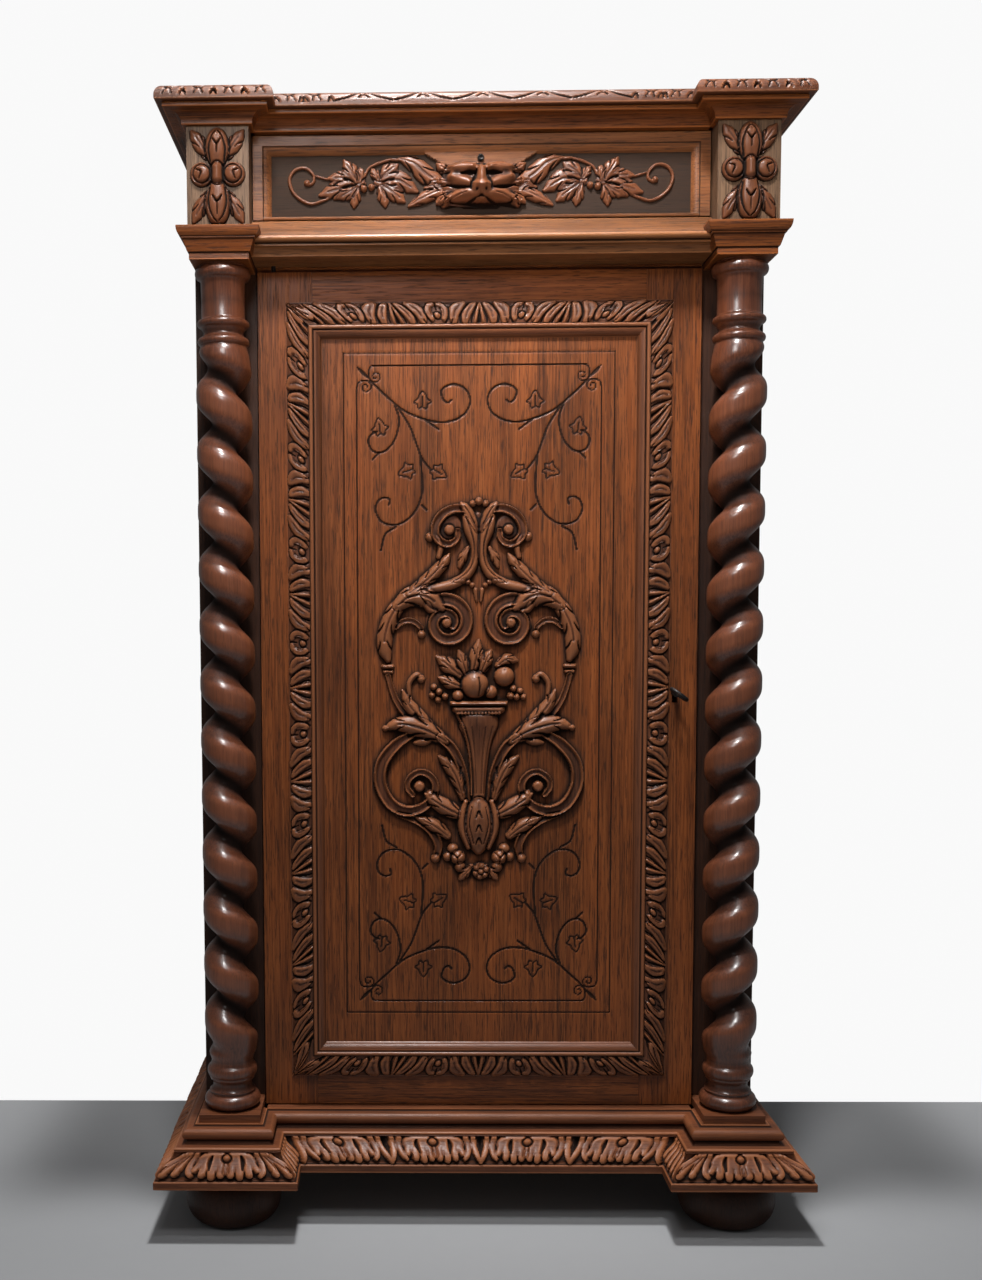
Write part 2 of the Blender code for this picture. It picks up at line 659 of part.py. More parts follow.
def add_carcass():
    """Posts, sides, back, rails, cupboard floor, shelves and the board that carries the drawer."""
    foot, top = FOOT_HEIGHT + GAP, Z_TOP
    board = X_PANEL - GAP
    rail_back = Y_POST + RAIL_THICKNESS
    seat = Z_DRAWER - SEAT_GAP
    shelves = (("lower_shelf", Z_BASE + LOWER_SHELF), ("upper_shelf", Z_BASE + UPPER_SHELF))
    y_front, y_rear = Y_POST + POST_DEPTH, Y_BACK - REAR_POST
    for name, side in SIDES:
        def across(a, b):
            return sorted((side * a, side * b))
        x = across(X_POST, X_SIDE)
        post = box((x[0], Y_POST, foot), (x[1], y_front, top))
        post = add_part(f"{name}_front_post", post, OAK, ROOT)
        if side == RIGHT:
            reach = Vector((BOLT_THROW, BOLT_THICKNESS / 2 + MM, BOLT_HEIGHT / 2 + MM))
            strike = BOLT_CENTRE + Vector((BOLT_LENGTH / 2, 0, 0))
            cut(post, "bolt_mortise", box(strike - reach, strike + reach + Vector((MM, 0, 0))))
        x = across(X_SIDE - REAR_POST, X_SIDE)
        rear = box((x[0], y_rear, foot), (x[1], Y_BACK, top))
        add_part(f"{name}_rear_post", rear, OAK, ROOT)
        x = across(X_PANEL, X_PANEL + SIDE_THICKNESS)
        panel = box((x[0], y_front + GAP, foot), (x[1], y_rear - GAP, top))
        panel = add_part(f"{name}_side_panel", panel, OAK, ROOT)
        x = across(X_PANEL - HOUSING, X_PANEL + HOUSING + GAP)
        for shelf, level in shelves:
            low = (x[0], y_front - HOUSING, level - BOARD_THICKNESS - GAP)
            high = (x[1], y_rear + HOUSING, level + GAP)
            cut(panel, f"{name}_{shelf}_housing", box(low, high))
    half = X_SIDE - REAR_POST - GAP
    back = box((-half, Y_INNER, foot), (half, Y_INNER + BACK_THICKNESS, top))
    add_part("back_panel", back, PLAIN_OAK, ROOT)
    half = X_POST - GAP
    sill = box((-half, Y_POST, foot), (half, rail_back, Z_BASE))
    add_part("door_sill", sill, OAK, ROOT)
    head = box((-half, Y_POST, Z_HEAD), (half, rail_back, seat))
    add_part("door_head_rail", head, OAK, ROOT)
    floor = inner_board(Z_BASE - BOARD_THICKNESS, Z_BASE, rail_back + GAP, board)
    add_part("cupboard_floor", floor, PLAIN_OAK, ROOT)
    divider = inner_board(seat - BOARD_THICKNESS, seat, rail_back + GAP, board)
    add_part("drawer_divider", divider, PLAIN_OAK, ROOT)
    for name, level in shelves:
        shelf = inner_board(level - BOARD_THICKNESS, level, y_front + GAP, X_PANEL + HOUSING)
        add_part(name, shelf, PLAIN_OAK, ROOT)


def column_rings(side):
    """Rings of a column from its foot up: height, turn of the twist, and the radius at each corner."""
    twist_end = COLUMN_HEIGHT - COLUMN_HEAD
    base = [(0, 0.90), (0.065, 0.985), (0.14, 1.0), (0.21, 0.985), (0.274, 0.90)]
    rings = [(COLUMN_BASE * t, BASE_TORUS_RADIUS * r, 0.0) for t, r in base]
    rings += [(COLUMN_BASE * t, SCOTIA_RADIUS * r, 0.0) for t, r in ((0.315, 1.16), (0.40, 1.0), (0.53, 1.06))]
    rings += [(COLUMN_BASE * t, RING_RADIUS * r, 0.0) for t, r in ((0.61, 0.93), (0.71, 1.0), (0.81, 0.95))]
    rings.append((COLUMN_BASE * 0.90, SCOTIA_RADIUS * 1.08, 0.0))
    rows = round((twist_end - COLUMN_BASE) / TWIST_PITCH * ROWS_PER_TURN)
    for i in range(rows + 1):
        height = COLUMN_BASE + (twist_end - COLUMN_BASE) * i / rows
        near_end = min(height - COLUMN_BASE, twist_end - height) / TWIST_FADE
        fade = min(1.0, max(0.0, near_end))
        swell = RING_RADIUS * 0.9 + (COLUMN_RADIUS - RING_RADIUS * 0.9) * math.sqrt(fade)
        rings.append((height, swell, fade))
    head = [(0.06, RING_RADIUS), (0.09, RING_RADIUS * 0.93), (0.13, SCOTIA_RADIUS), (0.22, SCOTIA_RADIUS)]
    head += [(0.25, RING_RADIUS * 0.94), (0.29, RING_RADIUS), (0.33, RING_RADIUS * 0.94), (0.35, DRUM_RADIUS)]
    head += [(0.82, DRUM_RADIUS), (0.84, CAP_RING_RADIUS * 0.9), (0.92, CAP_RING_RADIUS)]
    head += [(1.0, CAP_RING_RADIUS * 0.95)]
    rings += [(twist_end + COLUMN_HEAD * t, radius, 0.0) for t, radius in head]
    result = []
    for height, radius, groove in rings:
        climb = min(max(height, COLUMN_BASE), twist_end) - CREST_HEIGHT
        turn = side * 2 * math.pi * climb / TWIST_PITCH + (math.pi if side > 0 else 0.0)
        radii = []
        for k in range(COLUMN_SIDES):
            away = 2 * k / COLUMN_SIDES - 1
            hollow = ((1 - math.cos(math.pi * away)) / 2) ** 2
            radii.append(radius - GROOVE_DEPTH * groove * hollow)
        result.append((height, turn, radii))
    return result


def add_columns():
    """Barley-twist columns, one a mirror of the other: one rounded strand winds up each shaft."""
    for name, side in SIDES:
        bm = bmesh.new()
        loops = []
        for height, turn, radii in column_rings(side):
            loop = []
            for k, radius in enumerate(radii):
                angle = turn + 2 * math.pi * k / COLUMN_SIDES
                flat = Vector((radius * math.cos(angle), radius * math.sin(angle), 0))
                loop.append(bm.verts.new(column_centre(side, Z_COLUMN + max(GAP, height)) + flat))
            loops.append(loop)
        for low, high in zip(loops, loops[1:]):
            for k in range(COLUMN_SIDES):
                bm.faces.new((low[k - 1], low[k], high[k], high[k - 1]))
        bmesh.ops.triangulate(bm, faces=bm.faces, quad_method="SHORT_EDGE")
        bm.faces.new(loops[0])
        bm.faces.new(loops[-1])
        add_part(f"{name}_column", bm, DARK_OAK, ROOT, True)


def add_waist():
    """Square caps on the columns and the moulding between them, coped to the caps."""
    z = Z_CAP + NECK_HEIGHT
    bar = backed(waist_section(), Y_DRAWER - (Y_POST - GAP))
    reach = X_AXIS - NECK_HALF
    waist = moulding(bar, Vector((0, Y_DRAWER, z)), Vector((0, -1, 0)), Vector((1, 0, 0)), -reach, reach)
    waist = add_part("waist_moulding", waist, OAK, ROOT, True)
    for name, side in SIDES:
        low, *rest = cap_section()
        profile = [(low[0], GAP)] + rest
        cap = trim(square_block(profile, column_centre(side, Z_CAP)), (0, Y_POST - GAP, 0), (0, 1, 0))
        add_part(f"{name}_column_cap", cap, OAK, ROOT, True)
        grown = cap_section(GAP)
        grown = grown[:-1] + [(grown[-1][0], CAP_HEIGHT + GAP)]
        above = BLOCK_HALF + SLIDE_GAP
        grown += [(above, CAP_HEIGHT + GAP), (above, CAP_HEIGHT + DRAWER_RISE + MM)]
        grown = [(grown[0][0], -MM)] + grown
        cut(waist, f"{name}_waist_cope", square_block(grown, column_centre(side, Z_CAP)))
    hole = cylinder((DOOR_PIVOT.x, DOOR_PIVOT.y, z), PIN_RADIUS + GAP, 2 * (PIN_ENTRY + GAP), "Z", 12)
    cut(waist, "upper_pivot_socket", hole)


def rosette(centre):
    """Four ribbed buds round an oval boss, with a leaf in each corner of the block."""
    parts = [ellipsoid(centre, (0.0075, 0.013, 0.012))]
    for sign in (1, -1):
        parts.append(ellipsoid(centre + Vector((0, 0, sign * 0.029)), (0.0125, 0.011, 0.020)))
        parts.append(ellipsoid(centre + Vector((sign * 0.0175, 0, 0)), (0.0125, 0.010, 0.0125)))
    for across in (1, -1):
        for height in (1, -1):
            lean = 58 if across * height > 0 else 122
            place = centre + Vector((across * 0.0205, 0, height * 0.035))
            parts.append(leaf(place, 0.034, 0.015, lean, 0.0052 + 0.0004 * (across + height / 2)))
    return union(parts)


def add_frieze():
    """Carved blocks over the columns."""
    for name, side in SIDES:
        low = (side * X_AXIS - BLOCK_HALF, Y_BLOCK, Z_FRIEZE + GAP)
        high = (side * X_AXIS + BLOCK_HALF, Y_POST - GAP, Z_BED)
        add_part(f"{name}_frieze_block", box(low, high), GREY_OAK, ROOT)
        centre = Vector((side * X_AXIS, Y_BLOCK - GAP, Z_FRIEZE + FRIEZE_HEIGHT / 2))
        carving = flat_back(rosette(centre), centre)
        add_part(f"{name}_rosette", carving, OAK, ROOT, True)


def add_cornice():
    """Moulding under the top: corner blocks, a set-back centre coped to them, and two sides."""
    z = Z_BED + GAP
    section = [(p, max(0, h - GAP)) for p, h in bed_section()]
    centre_face = Y_BLOCK + CORNICE_BREAK
    centre = coped_length(section, centre_face, centre_face + BED_DEPTH, X_AXIS - BLOCK_HALF, z)
    add_part("cornice_centre", centre, OAK, ROOT, True)
    for name, side in SIDES:
        profile = corner_block(section, BLOCK_HALF, z)
        block = trim(square_block(profile, column_centre(side)), (0, Y_POST - GAP, 0), (0, 1, 0))
        add_part(f"{name}_cornice_corner", block, OAK, ROOT, True)
        edge = Vector((side * (X_AXIS + BLOCK_HALF), 0, z))
        flank = backed(section, X_SIDE + GAP - X_AXIS - BLOCK_HALF)
        length = moulding(flank, edge, Vector((side, 0, 0)), Vector((0, 1, 0)), Y_POST, Y_BACK)
        add_part(f"{name}_cornice_side", length, OAK, ROOT, True)


def add_top():
    """The top board, its front broken forward over the columns and its edge rounded."""
    outer, inner = X_AXIS + BLOCK_HALF + TOP_OVERHANG, X_AXIS - BLOCK_HALF - TOP_OVERHANG
    front = Y_BLOCK - TOP_OVERHANG
    right = [(inner, front + CORNICE_BREAK), (inner, front), (outer, front), (outer, Y_BACK)]
    outline = right + [(-x, y) for x, y in reversed(right)]
    low = Z_TOP + GAP
    bm = prism([Vector((x, y, low)) for x, y in outline], Vector((0, 0, TOP_THICKNESS - GAP)))
    edges = []
    for edge in bm.edges:
        a, b = edge.verts
        if abs(a.co.z - b.co.z) < GAP and min(a.co.y, b.co.y) < Y_BACK - GAP:
            edges.append(edge)
    bmesh.ops.bevel(bm, geom=edges, offset=TOP_ROUND, segments=3, profile=0.5, affect="EDGES")
    add_part("top_board", bm, OAK, ROOT, True)


def door_section():
    """The door's carved moulding from its outer edge inwards, as (distance in, height off the door)."""
    section = [(0, GAP), (0, GAP + CARVED_RISE * 0.35)]
    section += [(CARVED_BAND * t, CARVED_RISE * h) for t, h in ((0.2, 0.7), (0.5, 0.95), (0.8, 1.0))]
    section += [(CARVED_BAND, CARVED_RISE * 0.85)]
    bead = CARVED_BAND + DOOR_BEAD / 2
    section += arc((bead, DOOR_BEAD_RISE - DOOR_BEAD / 2), (DOOR_BEAD / 2, DOOR_BEAD / 2), 160, 0, 4)
    step = CARVED_BAND + DOOR_BEAD
    section += [(step, DOOR_OVOLO_RISE + DOOR_LIP / 2)]
    section += arc((step, DOOR_LIP / 2), (DOOR_OVOLO, DOOR_OVOLO_RISE), 90, 0, 4)[1:]
    return section + [(step + DOOR_OVOLO, GAP)]


def add_door_moulding():
    """Four mitred lengths round the door's panel."""
    high = Z_CAP - MOULDING_END
    low = Z_DOOR + MOULDING_END
    half = X_DOOR - MOULDING_SIDE
    face = Vector((0, -1, 0))
    middle = Vector((0, Y_DOOR, (high + low) / 2))
    sizes = {"x": half, "z": (high - low) / 2}
    runs = (("top", UP, Vector((1, 0, 0)), "z", "x"), ("bottom", -UP, Vector((1, 0, 0)), "z", "x"),
            ("left", Vector((-1, 0, 0)), UP, "x", "z"), ("right", Vector((1, 0, 0)), UP, "x", "z"))
    for name, outward, along, reach, length in runs:
        bm = bmesh.new()
        ends = []
        for sign in (-1, 1):
            ring = []
            for inset, rise in door_section():
                place = middle + outward * (sizes[reach] - inset) + face * rise
                ring.append(place + along * sign * (sizes[length] - inset - GAP))
            ends.append(ring)
        ring = [bm.verts.new(point) for point in ends[0]]
        drawn = bmesh.ops.extrude_face_region(bm, geom=[bm.faces.new(ring)])["geom"]
        moved = [item for item in drawn if isinstance(item, bmesh.types.BMVert)]
        for vert in moved:
            nearest = min(range(len(ends[0])), key=lambda i: (ends[0][i] - vert.co).length)
            vert.co = ends[1][nearest]
        add_part(f"door_moulding_{name}", bm, OAK, DOOR, True)


def cartouche_strokes():
    """The left half of the door's carving, as strokes of (across, height, half width) in drawing units."""
    crest_scroll = spiral((-31, 187), (18, 7), 60, 400, (4, 3.5), 9)
    crest_stem = smooth_path([(-14, 203, 4), (-6, 183, 5.5), (-8, 150, 6.5), (-27, 121, 6.5), (-58, 104, 6)])
    arm = smooth_path([(-56, 105, 6), (-80, 88, 8), (-103, 64, 9), (-113, 38, 8), (-108, 24, 4)])
    volute = spiral((-37, 83), (30, 7), 115, -560, (5, 4), 13)
    link = smooth_path([(-108, 27, 3), (-106, 10, 2.4), (-99, -8, 2.4), (-85, -28, 3), (-66, -46, 4)])
    leaf_stem = smooth_path([(-108, -40, 3), (-85, -33, 7.5), (-60, -46, 6.5), (-38, -62, 5), (-22, -88, 4),
                             (-9, -124, 4)])
    band = smooth_path([(-80, -36, 4), (-97, -54, 4.5), (-114, -80, 5)])
    scroll = spiral((-72, -111), (49, 8), 140, 520, (5, 4), 12)
    strap = smooth_path([(-74, -142, 5), (-60, -153, 5), (-49, -166, 4), (-50, -186, 4.5)])
    bulb_leaf = smooth_path([(-62, -126, 5), (-40, -132, 6), (-16, -148, 5)])
    return [crest_scroll, crest_stem, arm, volute, link, leaf_stem, band + scroll, strap, bulb_leaf]


def cartouche(centre):
    """Scrolls and leaves round a stemmed bowl of fruit, carved in relief."""
    unit = CARTOUCHE_UNIT

    def ball(across, height, radii):
        return ellipsoid(centre + Vector((across, 0, height)) * unit, [r * unit for r in radii])
    cup = [(8.5, -124), (9.5, -90), (11, -70), (17, -38), (24, -24), (31, -12), (31, -5)]
    stem = turned([(r * unit, h * unit) for r, h in cup], centre, 14)
    bmesh.ops.scale(stem, vec=(1, 0.55, 1), space=Matrix.Translation(-centre), verts=stem.verts)
    parts = [stem, ball(-4, 11, (17.5, 15, 17.5)), ball(27, 18, (14, 12, 14)), ball(36, -4, (13, 9, 12))]
    parts += [ball(-42, -2, (15, 9, 11)), ball(-30, 20, (15, 7, 18)), ball(4, 34, (12, 7, 17))]
    parts += [ball(0, 208, (25, 9, 14)), ball(0, -150, (20.5, 15, 38)), ball(0, -198, (28, 9, 15))]
    parts += [ball(-25, -192, (13, 11, 13)), ball(25, -192, (13, 11, 13))]
    for points in cartouche_strokes():
        for flip in (1, -1):
            parts.append(stroke(points, centre, unit, flip))
    return flat_back(union(parts), centre)


def add_door():
    """Stiles, rails and panel, the carving on them, and the pivots that carry the door."""
    back = Y_DOOR + DOOR_THICKNESS
    inner = X_DOOR - STILE_WIDTH
    for name, side in SIDES:
        x = sorted((side * inner, side * X_DOOR))
        stile = add_part(f"door_{name}_stile", box((x[0], Y_DOOR, Z_DOOR), (x[1], back, Z_CAP)), OAK, DOOR)
        if side == LEFT:
            for end, level in (("lower", Z_DOOR), ("upper", Z_CAP)):
                place = (DOOR_PIVOT.x, DOOR_PIVOT.y, level)
                depth = 2 * (PIN_ENTRY + GAP)
                cut(stile, f"door_{end}_pivot_hole", cylinder(place, PIN_RADIUS + GAP, depth, "Z", 12))
        else:
            hole = cylinder(KEY_CENTRE, KEY_RADIUS + MM, 4 * DOOR_THICKNESS, "Y")
            slot = Vector((KEY_BIT_WIDTH / 2, 2 * DOOR_THICKNESS + MM, 0))
            slit = box(KEY_CENTRE - slot - UP * (KEY_BIT + MM), KEY_CENTRE + slot)
            cut(stile, "keyhole", union([hole, slit]))
    across = inner - GAP
    rails = (("top", Z_CAP - STILE_WIDTH, Z_CAP), ("bottom", Z_DOOR, Z_DOOR + STILE_WIDTH))
    for name, low, high in rails:
        add_part(f"door_{name}_rail", box((-across, Y_DOOR, low), (across, back, high)), OAK, DOOR)
    low, high = Z_DOOR + STILE_WIDTH + GAP, Z_CAP - STILE_WIDTH - GAP
    panel = box((-across, Y_DOOR, low), (across, Y_DOOR + PANEL_THICKNESS, high))
    add_part("door_panel", panel, OAK, DOOR)
    add_door_moulding()
    centre = Vector((0, Y_DOOR - GAP, (Z_DOOR + Z_CAP) / 2 + CARTOUCHE_LIFT))
    add_part("door_cartouche", cartouche(centre), DARK_OAK, DOOR, True)
    pins = (("lower_pivot_pin", Z_BASE - PIN_ENTRY, Z_DOOR + PIN_ENTRY),
            ("upper_pivot_pin", Z_CAP - PIN_ENTRY, Z_CAP + NECK_HEIGHT + PIN_ENTRY))
    for name, low, high in pins:
        place = (DOOR_PIVOT.x, DOOR_PIVOT.y, (low + high) / 2)
        add_part(name, cylinder(place, PIN_RADIUS, high - low, "Z", 12), IRON, ROOT, True)


def add_lock():
    """A lock case behind the door's edge, its sliding bolt, and the key that turns in it."""
    low = Vector((X_CASE - CASE_LENGTH, Y_CASE, KEY_CENTRE.z - CASE_HEIGHT / 2))
    high = Vector((X_CASE, Y_CASE + CASE_THICKNESS, KEY_CENTRE.z + CASE_HEIGHT / 2))
    case = add_part("lock_case", box(low, high), IRON, DOOR)
    ward = Vector((KEY_CENTRE.x, Y_CASE, KEY_CENTRE.z))
    cut(case, "ward_pocket", cylinder(ward, WARD_RADIUS, 2 * WARD_DEPTH, "Y", 20))
    room = Vector((BOLT_LENGTH / 2 + GAP, BOLT_THICKNESS / 2 + GAP, BOLT_HEIGHT / 2 + GAP))
    cut(case, "bolt_way", box(BOLT_CENTRE - room, BOLT_CENTRE + room + Vector((MM, 0, 0))))
    size = Vector((BOLT_LENGTH, BOLT_THICKNESS, BOLT_HEIGHT)) / 2
    add_part("lock_bolt", box(BOLT_CENTRE - size, BOLT_CENTRE + size), IRON, BOLT)
    tip = Y_CASE + WARD_DEPTH - GAP
    start = Y_DOOR - KEY_STEM
    shaft = cylinder((0, (start + tip) / 2, 0), KEY_RADIUS, tip - start, "Y")
    bow_centre = start - KEY_BOW + KEY_BOW_WIRE / 2
    ring = [Vector((KEY_BOW * math.cos(a), bow_centre + KEY_BOW * math.sin(a), 0))
            for a in (2 * math.pi * i / 16 for i in range(17))]
    bow = tube(ring[:-1], [KEY_BOW_WIRE] * 16)
    closing = tube([ring[-2], ring[-1], ring[1]], [KEY_BOW_WIRE * 1.04] * 3)
    half = KEY_BIT_WIDTH / 2 - MM / 2
    bit = box((-half, tip - WARD_DEPTH + MM, -KEY_BIT), (half, tip - MM, 0))
    bmesh.ops.rotate(bit, matrix=Matrix.Rotation(math.pi / 2, 3, "Y"), verts=bit.verts)
    key = union([shaft, union([bow, closing]), bit])
    place = Matrix.Translation((KEY_CENTRE.x, 0, KEY_CENTRE.z)) @ Matrix.Rotation(KEY_TILT, 4, "Y")
    bmesh.ops.transform(key, matrix=place, verts=key.verts)
    add_part("door_key", key, IRON, KEY, True)


def vine(centre, flip):
    """Two vine leaves with berries on a stem that ends in a scroll, to one side of the mask."""
    unit = VINE_UNIT

    def spot(across, height):
        return centre + Vector((flip * across, 0, height)) * unit
    curl = spiral((-193, 3), (24, 6), -75, -470, (2.2, 3), 11)
    lead = smooth_path([(-140, -10, 2.5), (-160, -17, 2.5), (-176, -21, 2.4)])
    stem = smooth_path([(-128, 4, 3), (-118, 20, 3), (-98, 25, 3.5), (-80, 21, 5), (-61, 12, 5)])
    parts = [stroke(lead + curl, centre, unit, flip), stroke(stem, centre, unit, flip)]
    lean = 90 - flip * 80
    parts.append(leaf(spot(-148, 1), 48 * unit, 36 * unit, lean, 6.5 * unit))
    parts.append(leaf(spot(-103, 1), 50 * unit, 36 * unit, 90 - flip * 105, 7.1 * unit))
    for across, height, radius in ((-128, -4, 6), (-121, 2, 8)):
        parts.append(ellipsoid(spot(across, height), Vector((radius, 7.8, radius)) * unit))
    parts.append(leaf(spot(-79, -8), 38 * unit, 20 * unit, 90 - flip * 70, 7.8 * unit))
    return union(parts)


def mask(centre):
    """A grotesque lion-like mask with leafy whiskers; its undercut chin is the drawer's pull."""
    def lump(across, out, height, radii):
        return ellipsoid(centre + Vector((across, -out, height)) * VINE_UNIT, Vector(radii) * VINE_UNIT, 9, 6)
    parts = [lump(0, 6, 2, (36, 22, 25)), lump(0, 24, -4, (9, 13, 15)), lump(0, 18, -15, (21, 17, 10))]
    for sign in (-1, 1):
        parts.append(lump(sign * 19, 19, 13, (15, 10, 6)))
        parts.append(lump(sign * 20, 17, -3, (13, 11, 8)))
        parts.append(lump(sign * 36, 4, 14, (14, 9, 8)))
        parts.append(lump(sign * 38, 4, -14, (12, 9, 7)))
    return union(parts)


def add_drawer():
    """Drawer front with a sunk carved panel, and the box behind it."""
    back = Y_DRAWER + DRAWER_FRONT
    front = box((-X_DRAWER, Y_DRAWER, Z_DRAWER), (X_DRAWER, back, Z_DRAWER_TOP))
    front = add_part("drawer_front", front, OAK, DRAWER)
    sunk_half = X_DRAWER - SUNK_SIDE
    low, high = Z_DRAWER + SUNK_FOOT, Z_DRAWER_TOP - SUNK_TOP
    floor = Y_DRAWER + SUNK_DEPTH
    recess = box((-sunk_half, Y_DRAWER - SUNK_DEPTH, low), (sunk_half, floor, high))
    middle = (low + high) / 2
    for vert in recess.verts:
        if vert.co.y < Y_DRAWER:
            vert.co.x += math.copysign(2 * SUNK_SLOPE, vert.co.x)
            vert.co.z += 2 * SUNK_SLOPE if vert.co.z > middle else 0
    cut(front, "sunk_panel", recess)
    end = Y_DRAWER + DRAWER_LENGTH
    for name, side in SIDES:
        x = sorted((side * (X_BOX - DRAWER_SIDE), side * X_BOX))
        board = box((x[0], back + GAP, Z_DRAWER), (x[1], end, Z_DRAWER + DRAWER_SIDE_HEIGHT))
        add_part(f"drawer_{name}_side", board, PLAIN_OAK, DRAWER)
    half = X_BOX - DRAWER_SIDE - GAP
    rear = box((-half, end - DRAWER_SIDE, Z_DRAWER), (half, end, Z_DRAWER + DRAWER_SIDE_HEIGHT))
    add_part("drawer_back", rear, PLAIN_OAK, DRAWER)
    low_face = Z_DRAWER + DRAWER_BOTTOM_RISE
    bottom = box((-half, back + GAP, low_face), (half, end - DRAWER_SIDE - GAP, low_face + DRAWER_BOTTOM))
    add_part("drawer_bottom", bottom, PLAIN_OAK, DRAWER)
    centre = Vector((0, floor - GAP, middle))
    add_part("drawer_mask", flat_back(mask(centre), centre), OAK, DRAWER, True)
    for name, side in SIDES:
        carving = flat_back(vine(centre, -side), centre)
        add_part(f"{name}_vine", carving, OAK, DRAWER, True)


clear_scene()
PARTS = new_collection(OBJECT_NAME)
CUTTERS = new_collection("cutters")
ROOT = add_empty("cabinet_origin", (0, 0, 0))
DOOR = add_empty("door_swing_axis", DOOR_PIVOT, ROOT)
KEY = add_empty("key_turn_axis", KEY_CENTRE, DOOR)
BOLT = add_empty("bolt_slide_axis", BOLT_CENTRE, DOOR)
DRAWER = add_empty("drawer_slide_axis", DRAWER_ORIGIN, ROOT)
bpy.context.view_layer.update()
add_feet()
add_plinth()
add_carcass()
add_columns()
add_waist()
add_frieze()
add_cornice()
add_top()
add_door()
add_lock()
add_drawer()
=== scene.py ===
"""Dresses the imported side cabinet: carved and turned oak pieces, waxed finishes, studio light and camera.

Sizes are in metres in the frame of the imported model: +Z up, the front faces -Y. Carving is drawn in
millimetres on a flat ground and then laid on the face or moulding that carries it.
"""
from __future__ import annotations

import json
import logging
import math
from dataclasses import dataclass, field, replace
from enum import Enum
from functools import partial
from itertools import product
from typing import Any, Callable, Mapping, Optional, Sequence, Union

import bmesh
import bpy
import numpy as np
from mathutils import Matrix, Vector

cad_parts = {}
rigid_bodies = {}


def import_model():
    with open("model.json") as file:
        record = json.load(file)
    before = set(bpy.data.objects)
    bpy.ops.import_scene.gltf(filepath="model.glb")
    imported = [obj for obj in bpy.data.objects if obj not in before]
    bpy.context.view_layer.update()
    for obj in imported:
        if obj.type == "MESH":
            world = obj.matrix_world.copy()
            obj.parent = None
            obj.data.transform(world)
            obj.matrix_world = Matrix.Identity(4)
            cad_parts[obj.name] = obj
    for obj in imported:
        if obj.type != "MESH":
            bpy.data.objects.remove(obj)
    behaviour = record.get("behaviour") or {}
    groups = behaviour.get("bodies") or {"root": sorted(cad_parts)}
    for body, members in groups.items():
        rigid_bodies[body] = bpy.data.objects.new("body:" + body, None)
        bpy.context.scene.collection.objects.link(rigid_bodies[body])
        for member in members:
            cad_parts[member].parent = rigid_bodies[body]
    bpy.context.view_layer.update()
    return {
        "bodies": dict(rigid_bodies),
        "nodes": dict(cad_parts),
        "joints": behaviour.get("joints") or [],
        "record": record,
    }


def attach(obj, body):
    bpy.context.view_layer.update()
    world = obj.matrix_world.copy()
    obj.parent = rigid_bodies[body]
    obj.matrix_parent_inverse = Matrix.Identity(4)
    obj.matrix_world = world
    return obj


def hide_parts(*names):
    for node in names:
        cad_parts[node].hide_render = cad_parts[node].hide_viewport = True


LOG = logging.getLogger("side_cabinet")
MM = 0.001
TURN = 2 * math.pi
SIDES = (("left", -1), ("right", 1))
BOTH = (1, -1)
NOTHING = (None, None, None)
SHARP_ANGLE = math.radians(38)
CARVED_SHARP_ANGLE = math.radians(60)
WEAR_AND_SHADE = "wear"
X_AXIS = Vector((1, 0, 0))
Y_AXIS = Vector((0, 1, 0))
Z_AXIS = Vector((0, 0, 1))
COLUMN_X = 0.289
COLUMN_Y = -0.1355
POST_FACE = -0.1018
FLANK_START = -0.1015
BACK_FACE = 0.2165

Colour = tuple[float, float, float]
Point = tuple[float, float, float]
Path = Sequence[Point]
Outline = list[tuple[float, float]]


# Finishes

def srgb(*levels: int) -> Colour:
    """Turns a display colour, 0 to 255, into the linear colour that a shader takes."""
    shares = [level / 255 for level in levels]
    return tuple(share / 12.92 if share <= 0.04045 else ((share + 0.055) / 1.055) ** 2.4 for share in shares)


def operator(operation: str, swapped: bool = False) -> Callable[["Value", Any], "Value"]:
    """Makes an operator that adds one Math node.

    Args:
        operation: what the node does.
        swapped: whether the plain number stands in front.

    Returns:
        The operator, for use as a method.
    """
    def apply(value: "Value", other: Any) -> "Value":
        """Adds the node and gives its result."""
        first, second = (other, value) if swapped else (value, other)
        return value.shader.node("ShaderNodeMath", {"operation": operation}, {0: first, 1: second})
    return apply


@dataclass(frozen=True)
class Value:
    """A shader socket that can be used in sums, so that a formula reads as one."""

    shader: "Shader"
    socket: bpy.types.NodeSocket

    __add__ = operator("ADD")
    __radd__ = operator("ADD", True)
    __sub__ = operator("SUBTRACT")
    __rsub__ = operator("SUBTRACT", True)
    __mul__ = operator("MULTIPLY")
    at_most = operator("MINIMUM")

    def __neg__(self) -> "Value":
        """The value with its sign turned."""
        return self * -1.0

    def between(self, low: float, high: float) -> "Value":
        """Rises smoothly from 0 at low to 1 at high."""
        settings = {"interpolation_type": "SMOOTHSTEP", "clamp": True}
        return self.shader.node("ShaderNodeMapRange", settings, {0: self, 1: low, 2: high, 3: 0.0, 4: 1.0})


